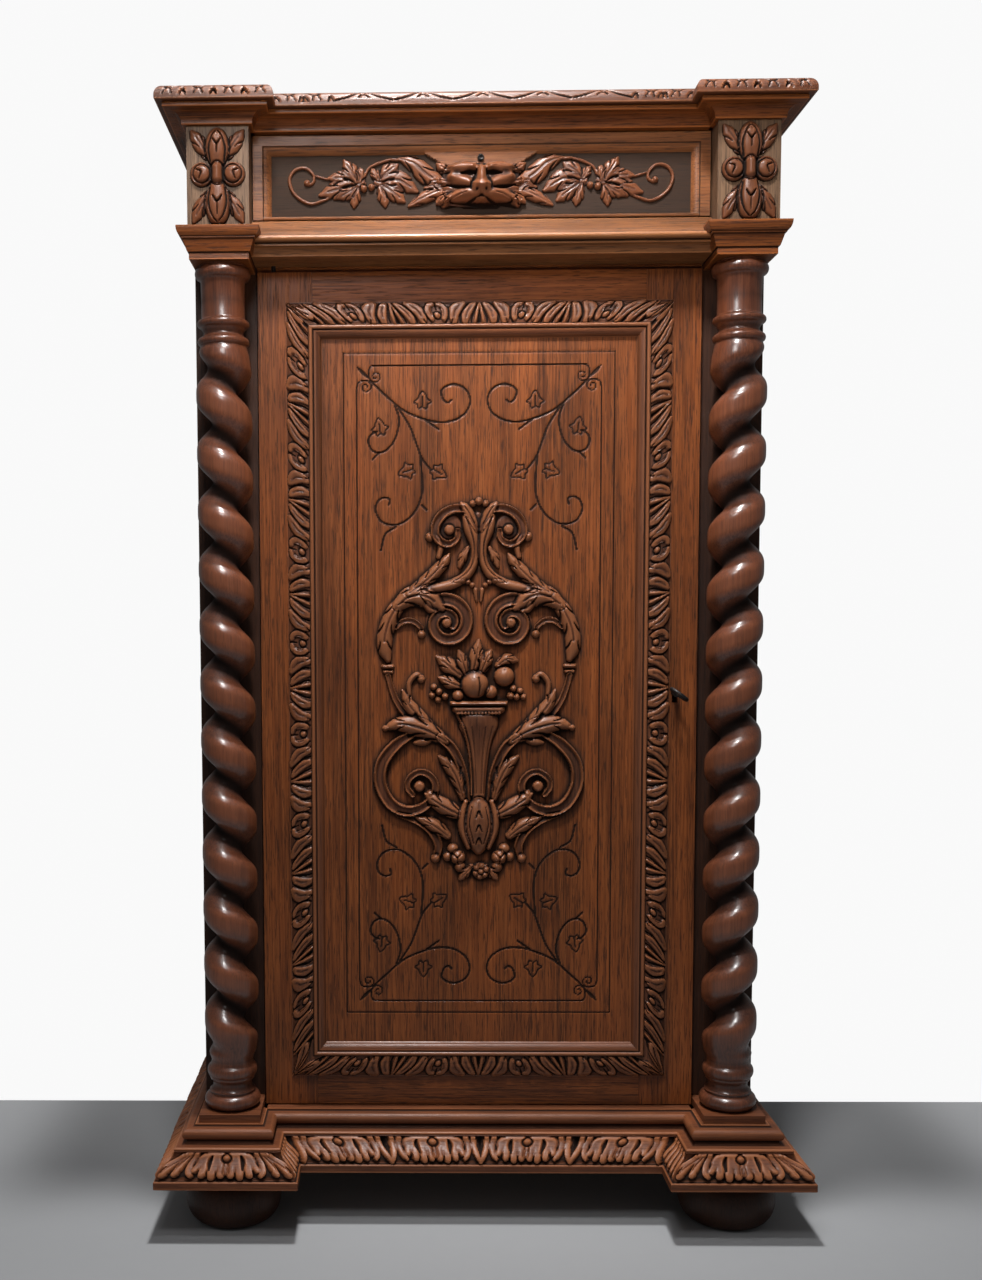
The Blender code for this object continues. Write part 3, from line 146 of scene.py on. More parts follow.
class Shader:
    """A material or world under construction."""

    def __init__(self, owner: Union[bpy.types.Material, bpy.types.World]) -> None:
        """Takes over the owner's node tree and empties it.

        Args:
            owner: the material or world to build.
        """
        owner.use_nodes = True
        self.tree = owner.node_tree
        self.tree.nodes.clear()

    def node(self, kind: str, settings: Mapping[str, Any], inputs: Mapping[Union[str, int], Any],
             output: Union[str, int] = 0) -> Value:
        """Adds a node of any kind.

        Args:
            kind: the node's type.
            settings: its own properties, which are set first.
            inputs: numbers, colours or other values for its sockets, by name or place.
            output: the socket that is handed back.

        Returns:
            The chosen output as a value.
        """
        node = self.tree.nodes.new(kind)
        for key, setting in settings.items():
            setattr(node, key, setting)
        for key, given in inputs.items():
            socket = node.inputs[key]
            if isinstance(given, Value):
                self.tree.links.new(given.socket, socket)
            elif socket.type == "RGBA" and len(given) == 3:
                socket.default_value = (*given, 1.0)
            else:
                socket.default_value = given
        return Value(self, node.outputs[output])

    def close(self, kind: str, surface: Value) -> None:
        """Adds an output node and joins the finished shader to it."""
        output = self.tree.nodes.new(kind)
        self.tree.links.new(surface.socket, output.inputs["Surface"])

    def blend(self, factor: Any, first: Any, second: Any) -> Value:
        """Mixes two colours: a factor of 0 gives the first, 1 the second."""
        settings = {"data_type": "RGBA", "clamp_factor": True}
        return self.node("ShaderNodeMix", settings, {0: factor, 6: first, 7: second}, 2)

    def noise(self, where: Value, scale: Point, detail: float, rough: float = 0.55) -> Value:
        """Noise stretched along the axes.

        Args:
            where: the coordinates.
            scale: how often it varies in a metre along X, Y and Z.
            detail: octaves.
            rough: how strong the fine octaves are.

        Returns:
            A value from 0 to 1.
        """
        place = self.node("ShaderNodeMapping", {}, {"Vector": where, "Scale": scale})
        inputs = {"Vector": place, "Scale": 1.0, "Detail": detail, "Roughness": rough}
        return self.node("ShaderNodeTexNoise", {}, inputs)


class Grain(Enum):
    """The axis that the wood's fibres run along."""

    ACROSS = 0
    DEEP = 1
    UPRIGHT = 2

    def stretch(self, across: float, along: float) -> Point:
        """Scale of a pattern from its repeats in a metre across the fibres and along them."""
        return tuple(along if axis == self.value else across for axis in range(3))


@dataclass(frozen=True)
class Finish:
    """A surface, with its name and a slot name."""

    name: str
    slot: str

    def title(self, grain: Grain) -> str:
        """The material's name."""
        return self.name

    def inputs(self, shader: Shader, where: Value, grain: Grain) -> Mapping[str, Any]:
        """What the surface node takes."""
        raise NotImplementedError

    def material(self, grain: Grain = Grain.UPRIGHT) -> bpy.types.Material:
        """Makes the material, or finds it if it is made already.

        Args:
            grain: the direction of the fibres.

        Returns:
            The material.
        """
        title = self.title(grain)
        if title in bpy.data.materials:
            return bpy.data.materials[title]
        made = bpy.data.materials.new(title)
        shader = Shader(made)
        where = shader.node("ShaderNodeTexCoord", {}, {}, "Object")
        surface = shader.node("ShaderNodeBsdfPrincipled", {}, self.inputs(shader, where, grain))
        shader.close("ShaderNodeOutputMaterial", surface)
        return made


@dataclass(frozen=True)
class Oak(Finish):
    """Stained and waxed oak: dark wax and painted shade in its hollows, paler rubbed crests with a painted
    highlight; display colours.
    """

    light: tuple[int, int, int]
    middle: tuple[int, int, int]
    dark: tuple[int, int, int]
    hollow: tuple[int, int, int]
    gloss: float
    wax: float
    figure: float = 1.0

    def title(self, grain: Grain) -> str:
        """The material's name, which tells the way of the fibres."""
        return f"{self.name}_{grain.name.lower()}"

    def inputs(self, shader: Shader, where: Value, grain: Grain) -> Mapping[str, Any]:
        """Colour, roughness, relief and wax of the wood.

        Args:
            shader: the material under construction.
            where: the coordinates.
            grain: the direction of the fibres.

        Returns:
            What the surface node takes.
        """
        light, middle, dark, hollow = (srgb(*c) for c in (self.light, self.middle, self.dark, self.hollow))
        patch = shader.noise(where, (9.0, 9.0, 6.0), 3.0)
        bands = shader.noise(where, grain.stretch(34.0, 1.6), 3.0, 0.6)
        streaks = shader.noise(where, grain.stretch(420.0, 9.0), 4.0, 0.65)
        pores = shader.noise(where, grain.stretch(820.0, 42.0), 3.0, 0.6)
        # This attribute carries rubbing and wax, together with a painted highlight on crests and painted
        # shade in hollows.
        worn = shader.node("ShaderNodeAttribute", {"attribute_name": WEAR_AND_SHADE}, {}, "Fac")
        figure = streaks.between(0.32, 0.72)
        pits = pores.between(0.52, 0.64) * self.figure
        crest = worn.between(0.08, 0.75)
        cavity = (-worn).between(0.03, 0.60)
        colour = shader.blend(0.15 + bands.between(0.30, 0.68) * 0.85, dark, middle)
        colour = shader.blend(figure * (0.42 * self.figure), colour, light)
        colour = shader.blend(patch.between(0.42, 0.70) * 0.35, colour, dark)
        colour = shader.blend(pits * 0.62, colour, hollow)
        # Crests: rubbed colour plus a painted highlight; hollows: dark wax plus painted shade.
        colour = shader.blend(crest * 0.55, colour, light)
        colour = shader.blend(cavity * 0.92, colour, hollow)
        rough = (self.gloss + figure * 0.08 + pits * 0.12 + cavity * 0.55 - crest * 0.08).at_most(0.95)
        relief_map = figure * 0.35 - pits * 0.9
        bump = shader.node("ShaderNodeBump", {}, {"Strength": 0.30, "Distance": 0.0006, "Height": relief_map})
        return {"Base Color": colour, "Roughness": rough, "Normal": bump,
                "Coat Weight": (1.0 - cavity) * self.wax, "Coat Roughness": 0.22, "IOR": 1.33}


WAXED = Oak("waxed_oak", "waxed_oak", (164, 93, 44), (108, 54, 21), (60, 28, 10), (18, 9, 4), 0.42, 0.10)
CARVED = Oak("carved_oak", "waxed_oak", (166, 104, 66), (100, 52, 27), (62, 31, 16), (11, 6, 4),
             0.48, 0.06, 0.6)
DARK = Oak("dark_oak", "dark_oak", (148, 88, 58), (93, 49, 30), (54, 27, 17), (12, 7, 5), 0.33, 0.90, 0.6)
OILED = Oak("oiled_oak", "waxed_oak", (142, 88, 56), (86, 45, 25), (52, 27, 15), (10, 5, 3), 0.42, 0.10, 0.6)
SHADED = Oak("shaded_oak", "waxed_oak", (124, 74, 47), (74, 39, 22), (44, 23, 13), (8, 5, 3), 0.40, 0.15, 0.6)
# Painted light: a paler, lit copy of the oak for the waist rail's upward-facing strip.
PAINTED_LIT = Oak("worn_oak", "waxed_oak", (158, 101, 60), (119, 73, 41), (80, 48, 26), (22, 13, 8), 0.40, 0.20)
# Painted shadow: near-black oak for the front posts beside the columns and for the feet under the plinth,
# where shade falls.
PAINTED_SHADOW = Oak("smoked_oak", "dark_oak", (82, 48, 30), (54, 30, 18), (34, 19, 12), (10, 6, 5), 0.48, 0.05, 0.6)
SUNK = Oak("sunk_oak", "waxed_oak", (160, 104, 62), (116, 66, 34), (74, 40, 20), (40, 33, 28), 0.45, 0.10)
RUBBED = Oak("rubbed_oak", "rubbed_oak", (150, 116, 88), (110, 82, 60), (70, 51, 36), (24, 16, 11), 0.5, 0.05)
RAW = Oak("raw_oak", "raw_oak", (178, 140, 98), (150, 112, 74), (112, 80, 52), (60, 42, 28), 0.62, 0.0)


@dataclass(frozen=True)
class Iron(Finish):
    """Old forged iron: nearly black, with a little brown rust and bright worn spots."""

    def inputs(self, shader: Shader, where: Value, grain: Grain) -> Mapping[str, Any]:
        """Colour, roughness and relief of the iron.

        Args:
            shader: the material under construction.
            where: the coordinates.
            grain: not used by iron.

        Returns:
            What the surface node takes.
        """
        blotch = shader.noise(where, (160.0, 160.0, 160.0), 4.0)
        fine = shader.noise(where, (900.0, 900.0, 900.0), 3.0)
        colour = shader.blend(blotch.between(0.50, 0.68), srgb(44, 42, 41), srgb(70, 46, 32))
        colour = shader.blend(fine.between(0.62, 0.75) * 0.4, colour, srgb(150, 148, 144))
        bump = shader.node("ShaderNodeBump", {}, {"Strength": 0.25, "Distance": 0.0003, "Height": fine})
        return {"Base Color": colour, "Roughness": 0.34 + blotch * 0.3, "Metallic": 0.9 - blotch * 0.3,
                "Normal": bump}


@dataclass(frozen=True)
class Paving(Finish):
    """Pale, lightly speckled floor."""

    def inputs(self, shader: Shader, where: Value, grain: Grain) -> Mapping[str, Any]:
        """Colour and roughness of the floor."""
        speck = shader.noise(where, (40.0, 40.0, 40.0), 4.0) * 0.12
        return {"Base Color": shader.blend(speck, srgb(150, 151, 153), srgb(170, 170, 170)),
                "Roughness": 0.75}


IRON = Iron("forged_iron", "iron")
PALE = Paving("pale_floor", "")


# Carving

class Profile(Enum):
    """The shape that a carver leaves along a stroke."""

    ROUND = "round"
    CHANNEL = "channel"
    LEAF = "leaf"
    PLATE = "plate"
    CUT = "cut"
    SWELL = "swell"

    def level(self, x: np.ndarray) -> np.ndarray:
        """Height across the stroke.

        Args:
            x: distance from the middle line, as a share of the half width.

        Returns:
            Height as a share of the stroke's rise.
        """
        inside = np.clip(x, 0.0, 1.0)
        if self is Profile.CHANNEL:
            rim = np.exp(-((inside - 0.82) / 0.20) ** 2)
            return np.sqrt(1 - inside ** 8) * (0.42 + 0.58 * rim)
        if self is Profile.PLATE:
            return np.sqrt(1 - inside ** 6)
        if self is Profile.CUT:
            return 1 - inside ** 1.4
        if self is Profile.SWELL:
            return (1 - inside ** 2) ** 2
        return np.sqrt(1 - inside ** 2)


@dataclass(frozen=True)
class Mark:
    """One stroke of carving, in millimetres: points of (across, up, half width) and how they are shaped."""

    path: Path
    profile: Profile
    rise: float
    lift: float

    def mirrored(self) -> "Mark":
        """The same stroke on the other side of the middle."""
        return replace(self, path=[(-u, v, width) for u, v, width in self.path])


def stroke(profile: Profile, rise: float, *path: Point, lift: float = 0.0) -> Mark:
    """A stroke through a few points."""
    return Mark(path, profile, rise, lift)


bead, channel, leaf, plate, cut, swell = (partial(stroke, profile) for profile in Profile)


def paired(*marks: Mark) -> tuple[Mark, ...]:
    """Each stroke followed by its mirror image."""
    return tuple(one for mark in marks for one in (mark, mark.mirrored()))


def smooth(points: Path, spacing: float = 0.8) -> np.ndarray:
    """Runs a smooth curve through a few points.

    Args:
        points: the points, with the half width last.
        spacing: distance between the points handed back.

    Returns:
        An array of points, one row each.
    """
    given = np.asarray(points, dtype=float)
    if len(given) == 1:
        return given
    padded = np.vstack((2 * given[0] - given[1], given, 2 * given[-1] - given[-2]))
    pieces = []
    for a, b, c, d in zip(padded, padded[1:], padded[2:], padded[3:]):
        count = max(2, math.ceil(np.hypot(*(c - b)[:2]) / spacing))
        t = np.linspace(0, 1, count, endpoint=False)[:, None]
        pieces.append(0.5 * (2 * b + (c - a) * t + (2 * a - 5 * b + 4 * c - d) * t ** 2
                             + (3 * b - a - 3 * c + d) * t ** 3))
    path = np.vstack((*pieces, given[-1:]))
    path[:, 2] = np.maximum(path[:, 2], 0.2)
    return path


def scroll(centre: tuple[float, float], radii: tuple[float, float], start: float, sweep: float,
           widths: tuple[float, float], count: int = 28) -> list[Point]:
    """A spiral for a stroke.

    Args:
        centre: its eye, in millimetres.
        radii: first and last radius.
        start: first angle in degrees.
        sweep: turn in degrees, anticlockwise when positive.
        widths: first and last half width.
        count: points along it.

    Returns:
        Points of (across, up, half width).
    """
    points = []
    for i in range(count):
        t = i / (count - 1)
        angle = math.radians(start + sweep * t)
        radius = radii[0] + (radii[1] - radii[0]) * t ** 0.85
        width = widths[0] + (widths[1] - widths[0]) * t
        points.append((centre[0] + radius * math.cos(angle), centre[1] + radius * math.sin(angle), width))
    return points


def soften(height: np.ndarray, reach: int) -> np.ndarray:
    """Averages a height map over a square neighbourhood, twice.

    Args:
        height: the map.
        reach: cells to each side.

    Returns:
        The softened map.
    """
    size = 2 * reach + 1
    for axis in (0, 1, 0, 1):
        width = [(reach + 1, reach) if k == axis else (0, 0) for k in range(2)]
        total = np.cumsum(np.pad(height, width, mode="edge"), axis=axis)
        first = np.take(total, range(size, total.shape[axis]), axis=axis)
        height = (first - np.take(total, range(total.shape[axis] - size), axis=axis)) / size
    return height


def lengths(points: np.ndarray) -> np.ndarray:
    """Distance along a line to each of its points."""
    steps = np.linalg.norm(np.diff(points, axis=0), axis=1)
    return np.concatenate(((0.0,), np.cumsum(steps)))


class Carving:
    """A carved face: a height map over a flat ground, in millimetres."""

    def __init__(self, across: np.ndarray, up: np.ndarray, ground: float = 0.0) -> None:
        """Starts with a level ground.

        Args:
            across: places of the columns.
            up: places of the rows.
            ground: height of the ground.
        """
        self.across = np.asarray(across, dtype=float)
        self.up = np.asarray(up, dtype=float)
        self.u, self.v = np.meshgrid(self.across, self.up, indexing="ij")
        self.height = np.full(self.u.shape, ground, dtype=float)

    @property
    def width(self) -> float:
        """Length of the face across."""
        return self.across[-1] - self.across[0]

    def draw(self, marks: Sequence[Mark], flips: Sequence[int] = (1,),
             shift: tuple[float, float] = (0.0, 0.0), turn: int = 1, stretch: float = 1.0) -> None:
        """Carves a group of strokes.

        Args:
            marks: the strokes, lowest first.
            flips: 1 draws them as written, -1 as in a mirror; BOTH draws both halves.
            shift: where the group's origin lies.
            turn: -1 turns the group upside down.
            stretch: factor on places across.
        """
        for mark, flip in product(marks, flips):
            self._stroke(smooth(mark.path) * (flip * stretch, turn, 1) + (*shift, 0), mark)

    def _stroke(self, path: np.ndarray, mark: Mark) -> None:
        """Carves one stroke, with its lobes if it is a leaf.

        Args:
            path: its points.
            mark: how it is shaped.
        """
        if mark.profile is not Profile.LEAF:
            under = 0.04 if mark.profile is Profile.PLATE else 0.22
            self._sweep(path, mark.profile, mark.rise, mark.lift, under)
            return
        self._sweep(path, Profile.ROUND, mark.rise, mark.lift, 0.16)
        for notch in self._notches(path):
            self._sweep(notch, Profile.CUT, 0.45 * mark.rise)
        midrib = path[: int(len(path) * 0.8)] * (1, 1, 0.14) + (0, 0, 0.4)
        self._sweep(midrib, Profile.CUT, 0.18 * mark.rise)

    @staticmethod
    def _notches(path: np.ndarray) -> list[np.ndarray]:
        """Cuts that part the lobes of a leaf, from its edge in towards its stalk.

        Args:
            path: the leaf's middle line.

        Returns:
            One path for each cut.
        """
        tangent = np.gradient(path[:, :2], axis=0)
        tangent /= np.linalg.norm(tangent, axis=1)[:, None] + 1e-9
        length = np.linalg.norm(np.diff(path[:, :2], axis=0), axis=1).sum()
        count = max(2, round(length / (3.0 * path[:, 2].mean())))
        cuts = []
        for k, side in product(range(count), (-1, 1)):
            i = int((k + 0.85) / (count + 0.5) * (len(path) - 1))
            middle, width, ahead = path[i, :2], path[i, 2], tangent[i]
            beside = np.array((-ahead[1], ahead[0])) * side
            edge = middle + width * (1.10 * beside + 0.35 * ahead)
            turn = middle + width * (0.70 * beside - 0.20 * ahead)
            root = middle + width * (0.42 * beside - 1.10 * ahead)
            cuts.append(smooth(((*edge, 0.26 * width), (*turn, 0.12 * width + 0.4), (*root, 0.5))))
        return cuts

    def _sweep(self, path: np.ndarray, profile: Profile, rise: float, lift: float = 0.0,
               under: float = 0.0) -> None:
        """Raises or cuts the map along a path.

        Args:
            path: points of (across, up, half width).
            profile: shape across the path.
            rise: height of a raised stroke, or depth of a cut.
            lift: height that a raised stroke starts from.
            under: depth of the groove beside a raised stroke, as a share of its rise.
        """
        widest = path[:, 2].max()
        reach = widest + 3.0
        columns = slice(*np.searchsorted(self.across, (path[:, 0].min() - reach, path[:, 0].max() + reach)))
        rows = slice(*np.searchsorted(self.up, (path[:, 1].min() - reach, path[:, 1].max() + reach)))
        u = self.u[columns, rows, None]
        v = self.v[columns, rows, None]
        if u.size == 0:
            return
        distance = np.hypot(u - path[:, 0], v - path[:, 1])
        nearest = np.argmin(distance - path[:, 2], axis=2)
        away = np.take_along_axis(distance, nearest[..., None], axis=2)[..., 0]
        width = path[nearest, 2]
        x = away / width
        level = profile.level(x)
        here = self.height[columns, rows]
        if profile in (Profile.CUT, Profile.SWELL):
            change = -rise if profile is Profile.CUT else rise
            self.height[columns, rows] = here + np.where(x < 1, change * level, 0.0)
            return
        share = 1.0 if profile is Profile.PLATE else 0.45 + 0.55 * width / widest
        raised = lift + rise * share * level
        beside = np.exp(-((away - width) / 1.1) ** 2) * min(under * rise, 2.2)
        lowered = np.maximum(np.minimum(here, 0.0), here - beside)
        inside = (x < 1) & (raised > lowered)
        self.height[columns, rows] = np.where(inside, raised, np.where(x < 1, here, lowered))

    def wear(self, step: float) -> np.ndarray:
        """How exposed each point is: above 0 on crests that hands rub, also painted lighter as a highlight;
        below 0 in hollows that keep wax, also painted darker as shade.

        Args:
            step: distance between the map's points, in millimetres.

        Returns:
            A map of values from -1 to 1.
        """
        near = self.height - soften(self.height, max(1, round(2.2 / step)))
        far = self.height - soften(self.height, max(2, round(6.5 / step)))
        return np.clip(near * 0.62 + far * 0.20, -1, 1)

    def placed(self, origin: Vector, height: np.ndarray) -> np.ndarray:
        """X, Y and Z of a height map's points on a front face."""
        places = (origin.x + self.u * MM, origin.y - height * MM, origin.z + self.v * MM)
        return np.stack(places, axis=-1).reshape(-1, 3)


def ticks(low: float, high: float, step: float) -> np.ndarray:
    """Even places from low to high, about a step apart."""
    return np.linspace(low, high, max(2, round((high - low) / step) + 1))


# Meshes

def numbered(shape: tuple[int, int]) -> np.ndarray:
    """The points' numbers in a grid."""
    return np.arange(shape[0] * shape[1]).reshape(shape)


def quads(grid: np.ndarray) -> np.ndarray:
    """Each four neighbours in a grid, in order round their face."""
    return np.stack((grid[:-1, :-1], grid[1:, :-1], grid[1:, 1:], grid[:-1, 1:]), axis=-1)


def skin(name: str, points: np.ndarray, faces: Sequence[Sequence[int]], wear: Optional[np.ndarray] = None,
         sharp: float = SHARP_ANGLE, fill: bool = False) -> bpy.types.Mesh:
    """Makes a smooth-shaded mesh with its faces turned outward.

    Args:
        name: the mesh's name.
        points: X, Y, Z of each point.
        faces: corners of each face.
        wear: how exposed each point is.
        sharp: angle from which an edge stays sharp.
        fill: whether its open edge is closed with triangles.

    Returns:
        The mesh.
    """
    mesh = bpy.data.meshes.new(name)
    mesh.from_pydata(points.tolist(), [], faces)
    values = np.zeros(len(points)) if wear is None else wear
    mesh.attributes.new(WEAR_AND_SHADE, "FLOAT", "POINT").data.foreach_set("value", values.astype(np.float32))
    bm = bmesh.new()
    bm.from_mesh(mesh)
    bmesh.ops.remove_doubles(bm, verts=bm.verts, dist=1e-6)
    bmesh.ops.recalc_face_normals(bm, faces=bm.faces)
    if fill:
        bmesh.ops.triangle_fill(bm, use_beauty=False, edges=[e for e in bm.edges if e.is_boundary])
        bmesh.ops.recalc_face_normals(bm, faces=bm.faces)
    bm.to_mesh(mesh)
    bm.free()
    mesh.polygons.foreach_set("use_smooth", [True] * len(mesh.polygons))
    mesh.set_sharp_from_angle(angle=sharp)
    return mesh


def lattice(name: str, points: np.ndarray, wear: Optional[np.ndarray] = None, around: bool = True,
            loop: bool = False) -> bpy.types.Mesh:
    """Joins rows of points into a closed skin.

    Args:
        name: the mesh's name.
        points: rows, points in a row, and X, Y, Z.
        wear: how exposed each point is.
        around: whether each row closes on itself.
        loop: whether the last row joins the first; otherwise both ends are filled.

    Returns:
        The mesh.
    """
    index = numbered(points.shape[:2])
    grid = np.hstack((index, index[:, :1])) if around else index
    grid = np.vstack((grid, grid[:1])) if loop else grid
    faces = quads(grid).reshape(-1, 4).tolist()
    if around and not loop:
        faces += [index[0].tolist(), index[-1][::-1].tolist()]
    elif loop and not around:
        faces += [index[:, 0].tolist(), index[::-1, -1].tolist()]
    return skin(name, points.reshape(-1, 3), faces, None if wear is None else wear.reshape(-1))


def relief(name: str, carving: Carving, step: float, origin: Vector, sunk: float = 0.6,
           least: float = 0.12) -> bpy.types.Mesh:
    """Makes a closed solid of everything that stands above the ground of a carving on a front face.

    Args:
        name: the mesh's name.
        carving: the height map.
        step: distance between its points, in millimetres.
        origin: where the carving's origin lies on the face.
        sunk: how far the solid's edge goes behind the face, in millimetres.
        least: height below which the ground is left bare.

    Returns:
        The mesh.
    """
    kept = carving.height > least
    cells = quads(kept).any(axis=-1)
    used, faces = np.unique(quads(numbered(kept.shape))[cells], return_inverse=True)
    points = carving.placed(origin, np.where(kept, carving.height, -sunk))[used]
    wear = carving.wear(step).reshape(-1)[used]
    return skin(name, points, faces.reshape(-1, 4).tolist(), wear, CARVED_SHARP_ANGLE, True)


def slab(name: str, carving: Carving, origin: Vector, back: float, wear: np.ndarray) -> bpy.types.Mesh:
    """Makes a board whose front face is a carving.

    Args:
        name: the mesh's name.
        carving: the height map of the front.
        origin: where the carving's origin lies on the front.
        back: Y of the flat back.
        wear: how exposed each point of the front is.

    Returns:
        The mesh.
    """
    front = carving.placed(origin, carving.height)
    index = numbered(carving.height.shape)
    rim = np.concatenate((index[:, 0], index[-1, 1:], index[-2::-1, -1], index[0, -2:0:-1]))
    behind = front[rim] * (1, 0, 1) + (0, back, 0)
    ring = np.arange(len(front), len(front) + len(rim))
    walls = np.stack((rim, np.roll(rim, -1), np.roll(ring, -1), ring), axis=-1)
    faces = quads(index).reshape(-1, 4).tolist() + walls.tolist() + [ring[::-1].tolist()]
    values = np.concatenate((wear.reshape(-1), np.zeros(len(rim))))
    return skin(name, np.vstack((front, behind)), faces, values)


def joined(name: str, meshes: Sequence[bpy.types.Mesh]) -> bpy.types.Mesh:
    """Puts several closed meshes into one.

    Args:
        name: the new mesh's name.
        meshes: what goes into it.

    Returns:
        The new mesh.
    """
    bm = bmesh.new()
    for mesh in meshes:
        bm.from_mesh(mesh)
    whole = bpy.data.meshes.new(name)
    bm.to_mesh(whole)
    bm.free()
    whole.set_sharp_from_angle(angle=SHARP_ANGLE)
    return whole


def arc(centre: tuple[float, float], radii: tuple[float, float], start: float, end: float,
        count: int = 9) -> Outline:
    """Points along part of an ellipse, from one angle in degrees to another."""
    turns = np.radians(np.linspace(start, end, count))
    return [(centre[0] + radii[0] * math.cos(a), centre[1] + radii[1] * math.sin(a)) for a in turns]


def revolved(centre: Sequence[float], girth: np.ndarray, height: np.ndarray,
             angles: np.ndarray) -> np.ndarray:
    """Points round an upright axis, one row for each height."""
    places = (centre[0] + girth * np.cos(angles), centre[1] + girth * np.sin(angles), centre[2] + height)
    return np.stack(np.broadcast_arrays(*places), axis=-1)


def around_axis(steps: int) -> np.ndarray:
    """Even angles once round."""
    return np.linspace(0, TURN, steps, endpoint=False)


def turned(name: str, profile: Outline, centre: Vector, steps: int) -> bpy.types.Mesh:
    """Turns a profile of (radius, height) about an upright axis."""
    radius, height = np.array(profile, dtype=float).T[..., None]
    return lattice(name, revolved(centre, radius, height, around_axis(steps)))


def block(name: str, low: Sequence[float], high: Sequence[float]) -> bpy.types.Mesh:
    """A plain board between two corners; its edges are eased later."""
    faces = [(0, 1, 3, 2), (4, 6, 7, 5), (0, 4, 5, 1), (2, 3, 7, 6), (0, 2, 6, 4), (1, 5, 7, 3)]
    return skin(name, np.array(list(product(*zip(low, high)))), faces)


def rod(name: str, path: Path, radii: Sequence[float], steps: int, closed: bool = False) -> bpy.types.Mesh:
    """A round bar along a path.

    Args:
        name: the mesh's name.
        path: points of its middle line.
        radii: half its thickness at each point.
        steps: corners round it.
        closed: whether it closes into a ring.

    Returns:
        The mesh.
    """
    line = np.asarray(path, dtype=float)
    ahead = np.roll(line, -1, axis=0) - np.roll(line, 1, axis=0) if closed else np.gradient(line, axis=0)
    ahead /= np.linalg.norm(ahead, axis=1)[:, None]
    guide = np.array((0.31, 0.27, 0.91))
    beside = np.cross(ahead, guide)
    beside /= np.linalg.norm(beside, axis=1)[:, None]
    above = np.cross(beside, ahead)
    turns = around_axis(steps)[None, :, None]
    girth = np.asarray(radii, dtype=float)[:, None, None]
    points = line[:, None] + girth * (np.cos(turns) * beside[:, None] + np.sin(turns) * above[:, None])
    return lattice(name, points, loop=closed)


# Mouldings

@dataclass
class Section:
    """Closed outline of a moulding: how far it stands out and how high; one stretch may be carved."""

    outline: Outline
    band: tuple[int, int] = (0, 0)
    spacing: float = 0.0015
    points: np.ndarray = field(init=False)

    def __post_init__(self) -> None:
        """Adds points to long stretches, so that the painted highlights and shade, and the rubbing, show only
        near their edges.
        """
        low, high = self.band
        dense: Outline = []
        edges = []
        for i, point in enumerate(self.outline):
            edges.append(len(dense))
            after = self.outline[(i + 1) % len(self.outline)]
            carved = low <= i < high - 1
            count = 1 if carved else max(1, math.ceil(math.dist(point, after) / self.spacing))
            for share in (k / count for k in range(count)):
                dense.append(tuple(a + (b - a) * share for a, b in zip(point, after)))
        self.points = np.asarray(dense, dtype=float)
        if high:
            self.band = (edges[low], edges[high - 1] + 1)

    @property
    def carved(self) -> np.ndarray:
        """Points of the carved stretch."""
        return self.points[slice(*self.band)]

    def exposure(self, reach: float = 0.0022) -> np.ndarray:
        """How far each point stands out from its neighbours.

        Args:
            reach: distance along the outline to the neighbours.

        Returns:
            Values from -1 in a corner to 1 on an edge.
        """
        closed = np.vstack((self.points, self.points[:1]))
        place = lengths(closed)
        spots = [np.mod(place[:-1] + off, place[-1]) for off in (-reach, reach)]
        before, after = (np.stack([np.interp(spot, place, closed[:, k]) for k in (0, 1)], axis=-1)
                         for spot in spots)
        along = after - before
        normal = np.stack((along[:, 1], -along[:, 0]), axis=-1)
        normal /= np.linalg.norm(normal, axis=1)[:, None] + 1e-12
        proud = ((self.points - (before + after) / 2) * normal).sum(axis=1)
        return np.clip(proud / 0.0011, -1, 1)

    def normals(self) -> np.ndarray:
        """Finds which way the carved stretch faces.

        Returns:
            Outward direction at each of its points.
        """
        along = np.gradient(self.carved, axis=0)
        along /= np.linalg.norm(along, axis=1)[:, None] + 1e-12
        return np.stack((along[:, 1], -along[:, 0]), axis=-1)


@dataclass
class Run:
    """One straight length of a moulding."""

    origin: Vector
    along: Vector
    outward: Vector
    start: float
    end: float
    start_mitre: float = 0.0
    end_mitre: float = 0.0
    upward: Vector = field(default_factory=Z_AXIS.copy)
    mitre_up: bool = False
    carve: Optional[Callable[[Carving], None]] = None

    def rows(self, section: Section, step: float, ground: float) -> tuple[np.ndarray, np.ndarray]:
        """Points of the run, one row for each place along it.

        Args:
            section: the moulding's outline.
            step: distance between rows.
            ground: height of the carved ground against the outline, in millimetres.

        Returns:
            The points, and how exposed each one is.
        """
        out, up = section.points.T
        fit = up if self.mitre_up else out
        widening = self.end_mitre - self.start_mitre
        longest = abs(self.end - self.start) + max(0.0, widening) * fit.max()
        count = max(2, math.ceil(longest / step) + 1) if self.carve else 2
        share = np.linspace(0, 1, count)[:, None]
        # Edges of the outline get a painted highlight and its inner corners painted shade, along with rubbing
        # and wax.
        out, up, wear = (np.repeat(row[None], count, axis=0) for row in (out, up, 0.75 * section.exposure()))
        if self.carve:
            band = slice(*section.band)
            length = (self.end - self.start + widening * fit[band].mean()) / MM
            girth = lengths(section.carved) / MM
            carving = Carving((share[:, 0] - 0.5) * length, girth, ground)
            self.carve(carving)
            ends = np.clip(np.minimum(share, 1 - share) * length / 1.5, 0, 1)
            fade = ends * np.clip(np.minimum(girth, girth[-1] - girth), 0, 1)
            normal = section.normals()
            out[:, band] += carving.height * fade * MM * normal[:, 0]
            up[:, band] += carving.height * fade * MM * normal[:, 1]
            wear[:, band] = carving.wear(step / MM) * fade + wear[:, band] * (1 - fade)
        fit = up if self.mitre_up else out
        first = self.start + self.start_mitre * fit
        last = self.end + self.end_mitre * fit
        place = first + (last - first) * share
        points = (np.array(self.origin) + place[..., None] * np.array(self.along)
                  + out[..., None] * np.array(self.outward) + up[..., None] * np.array(self.upward))
        return points, wear


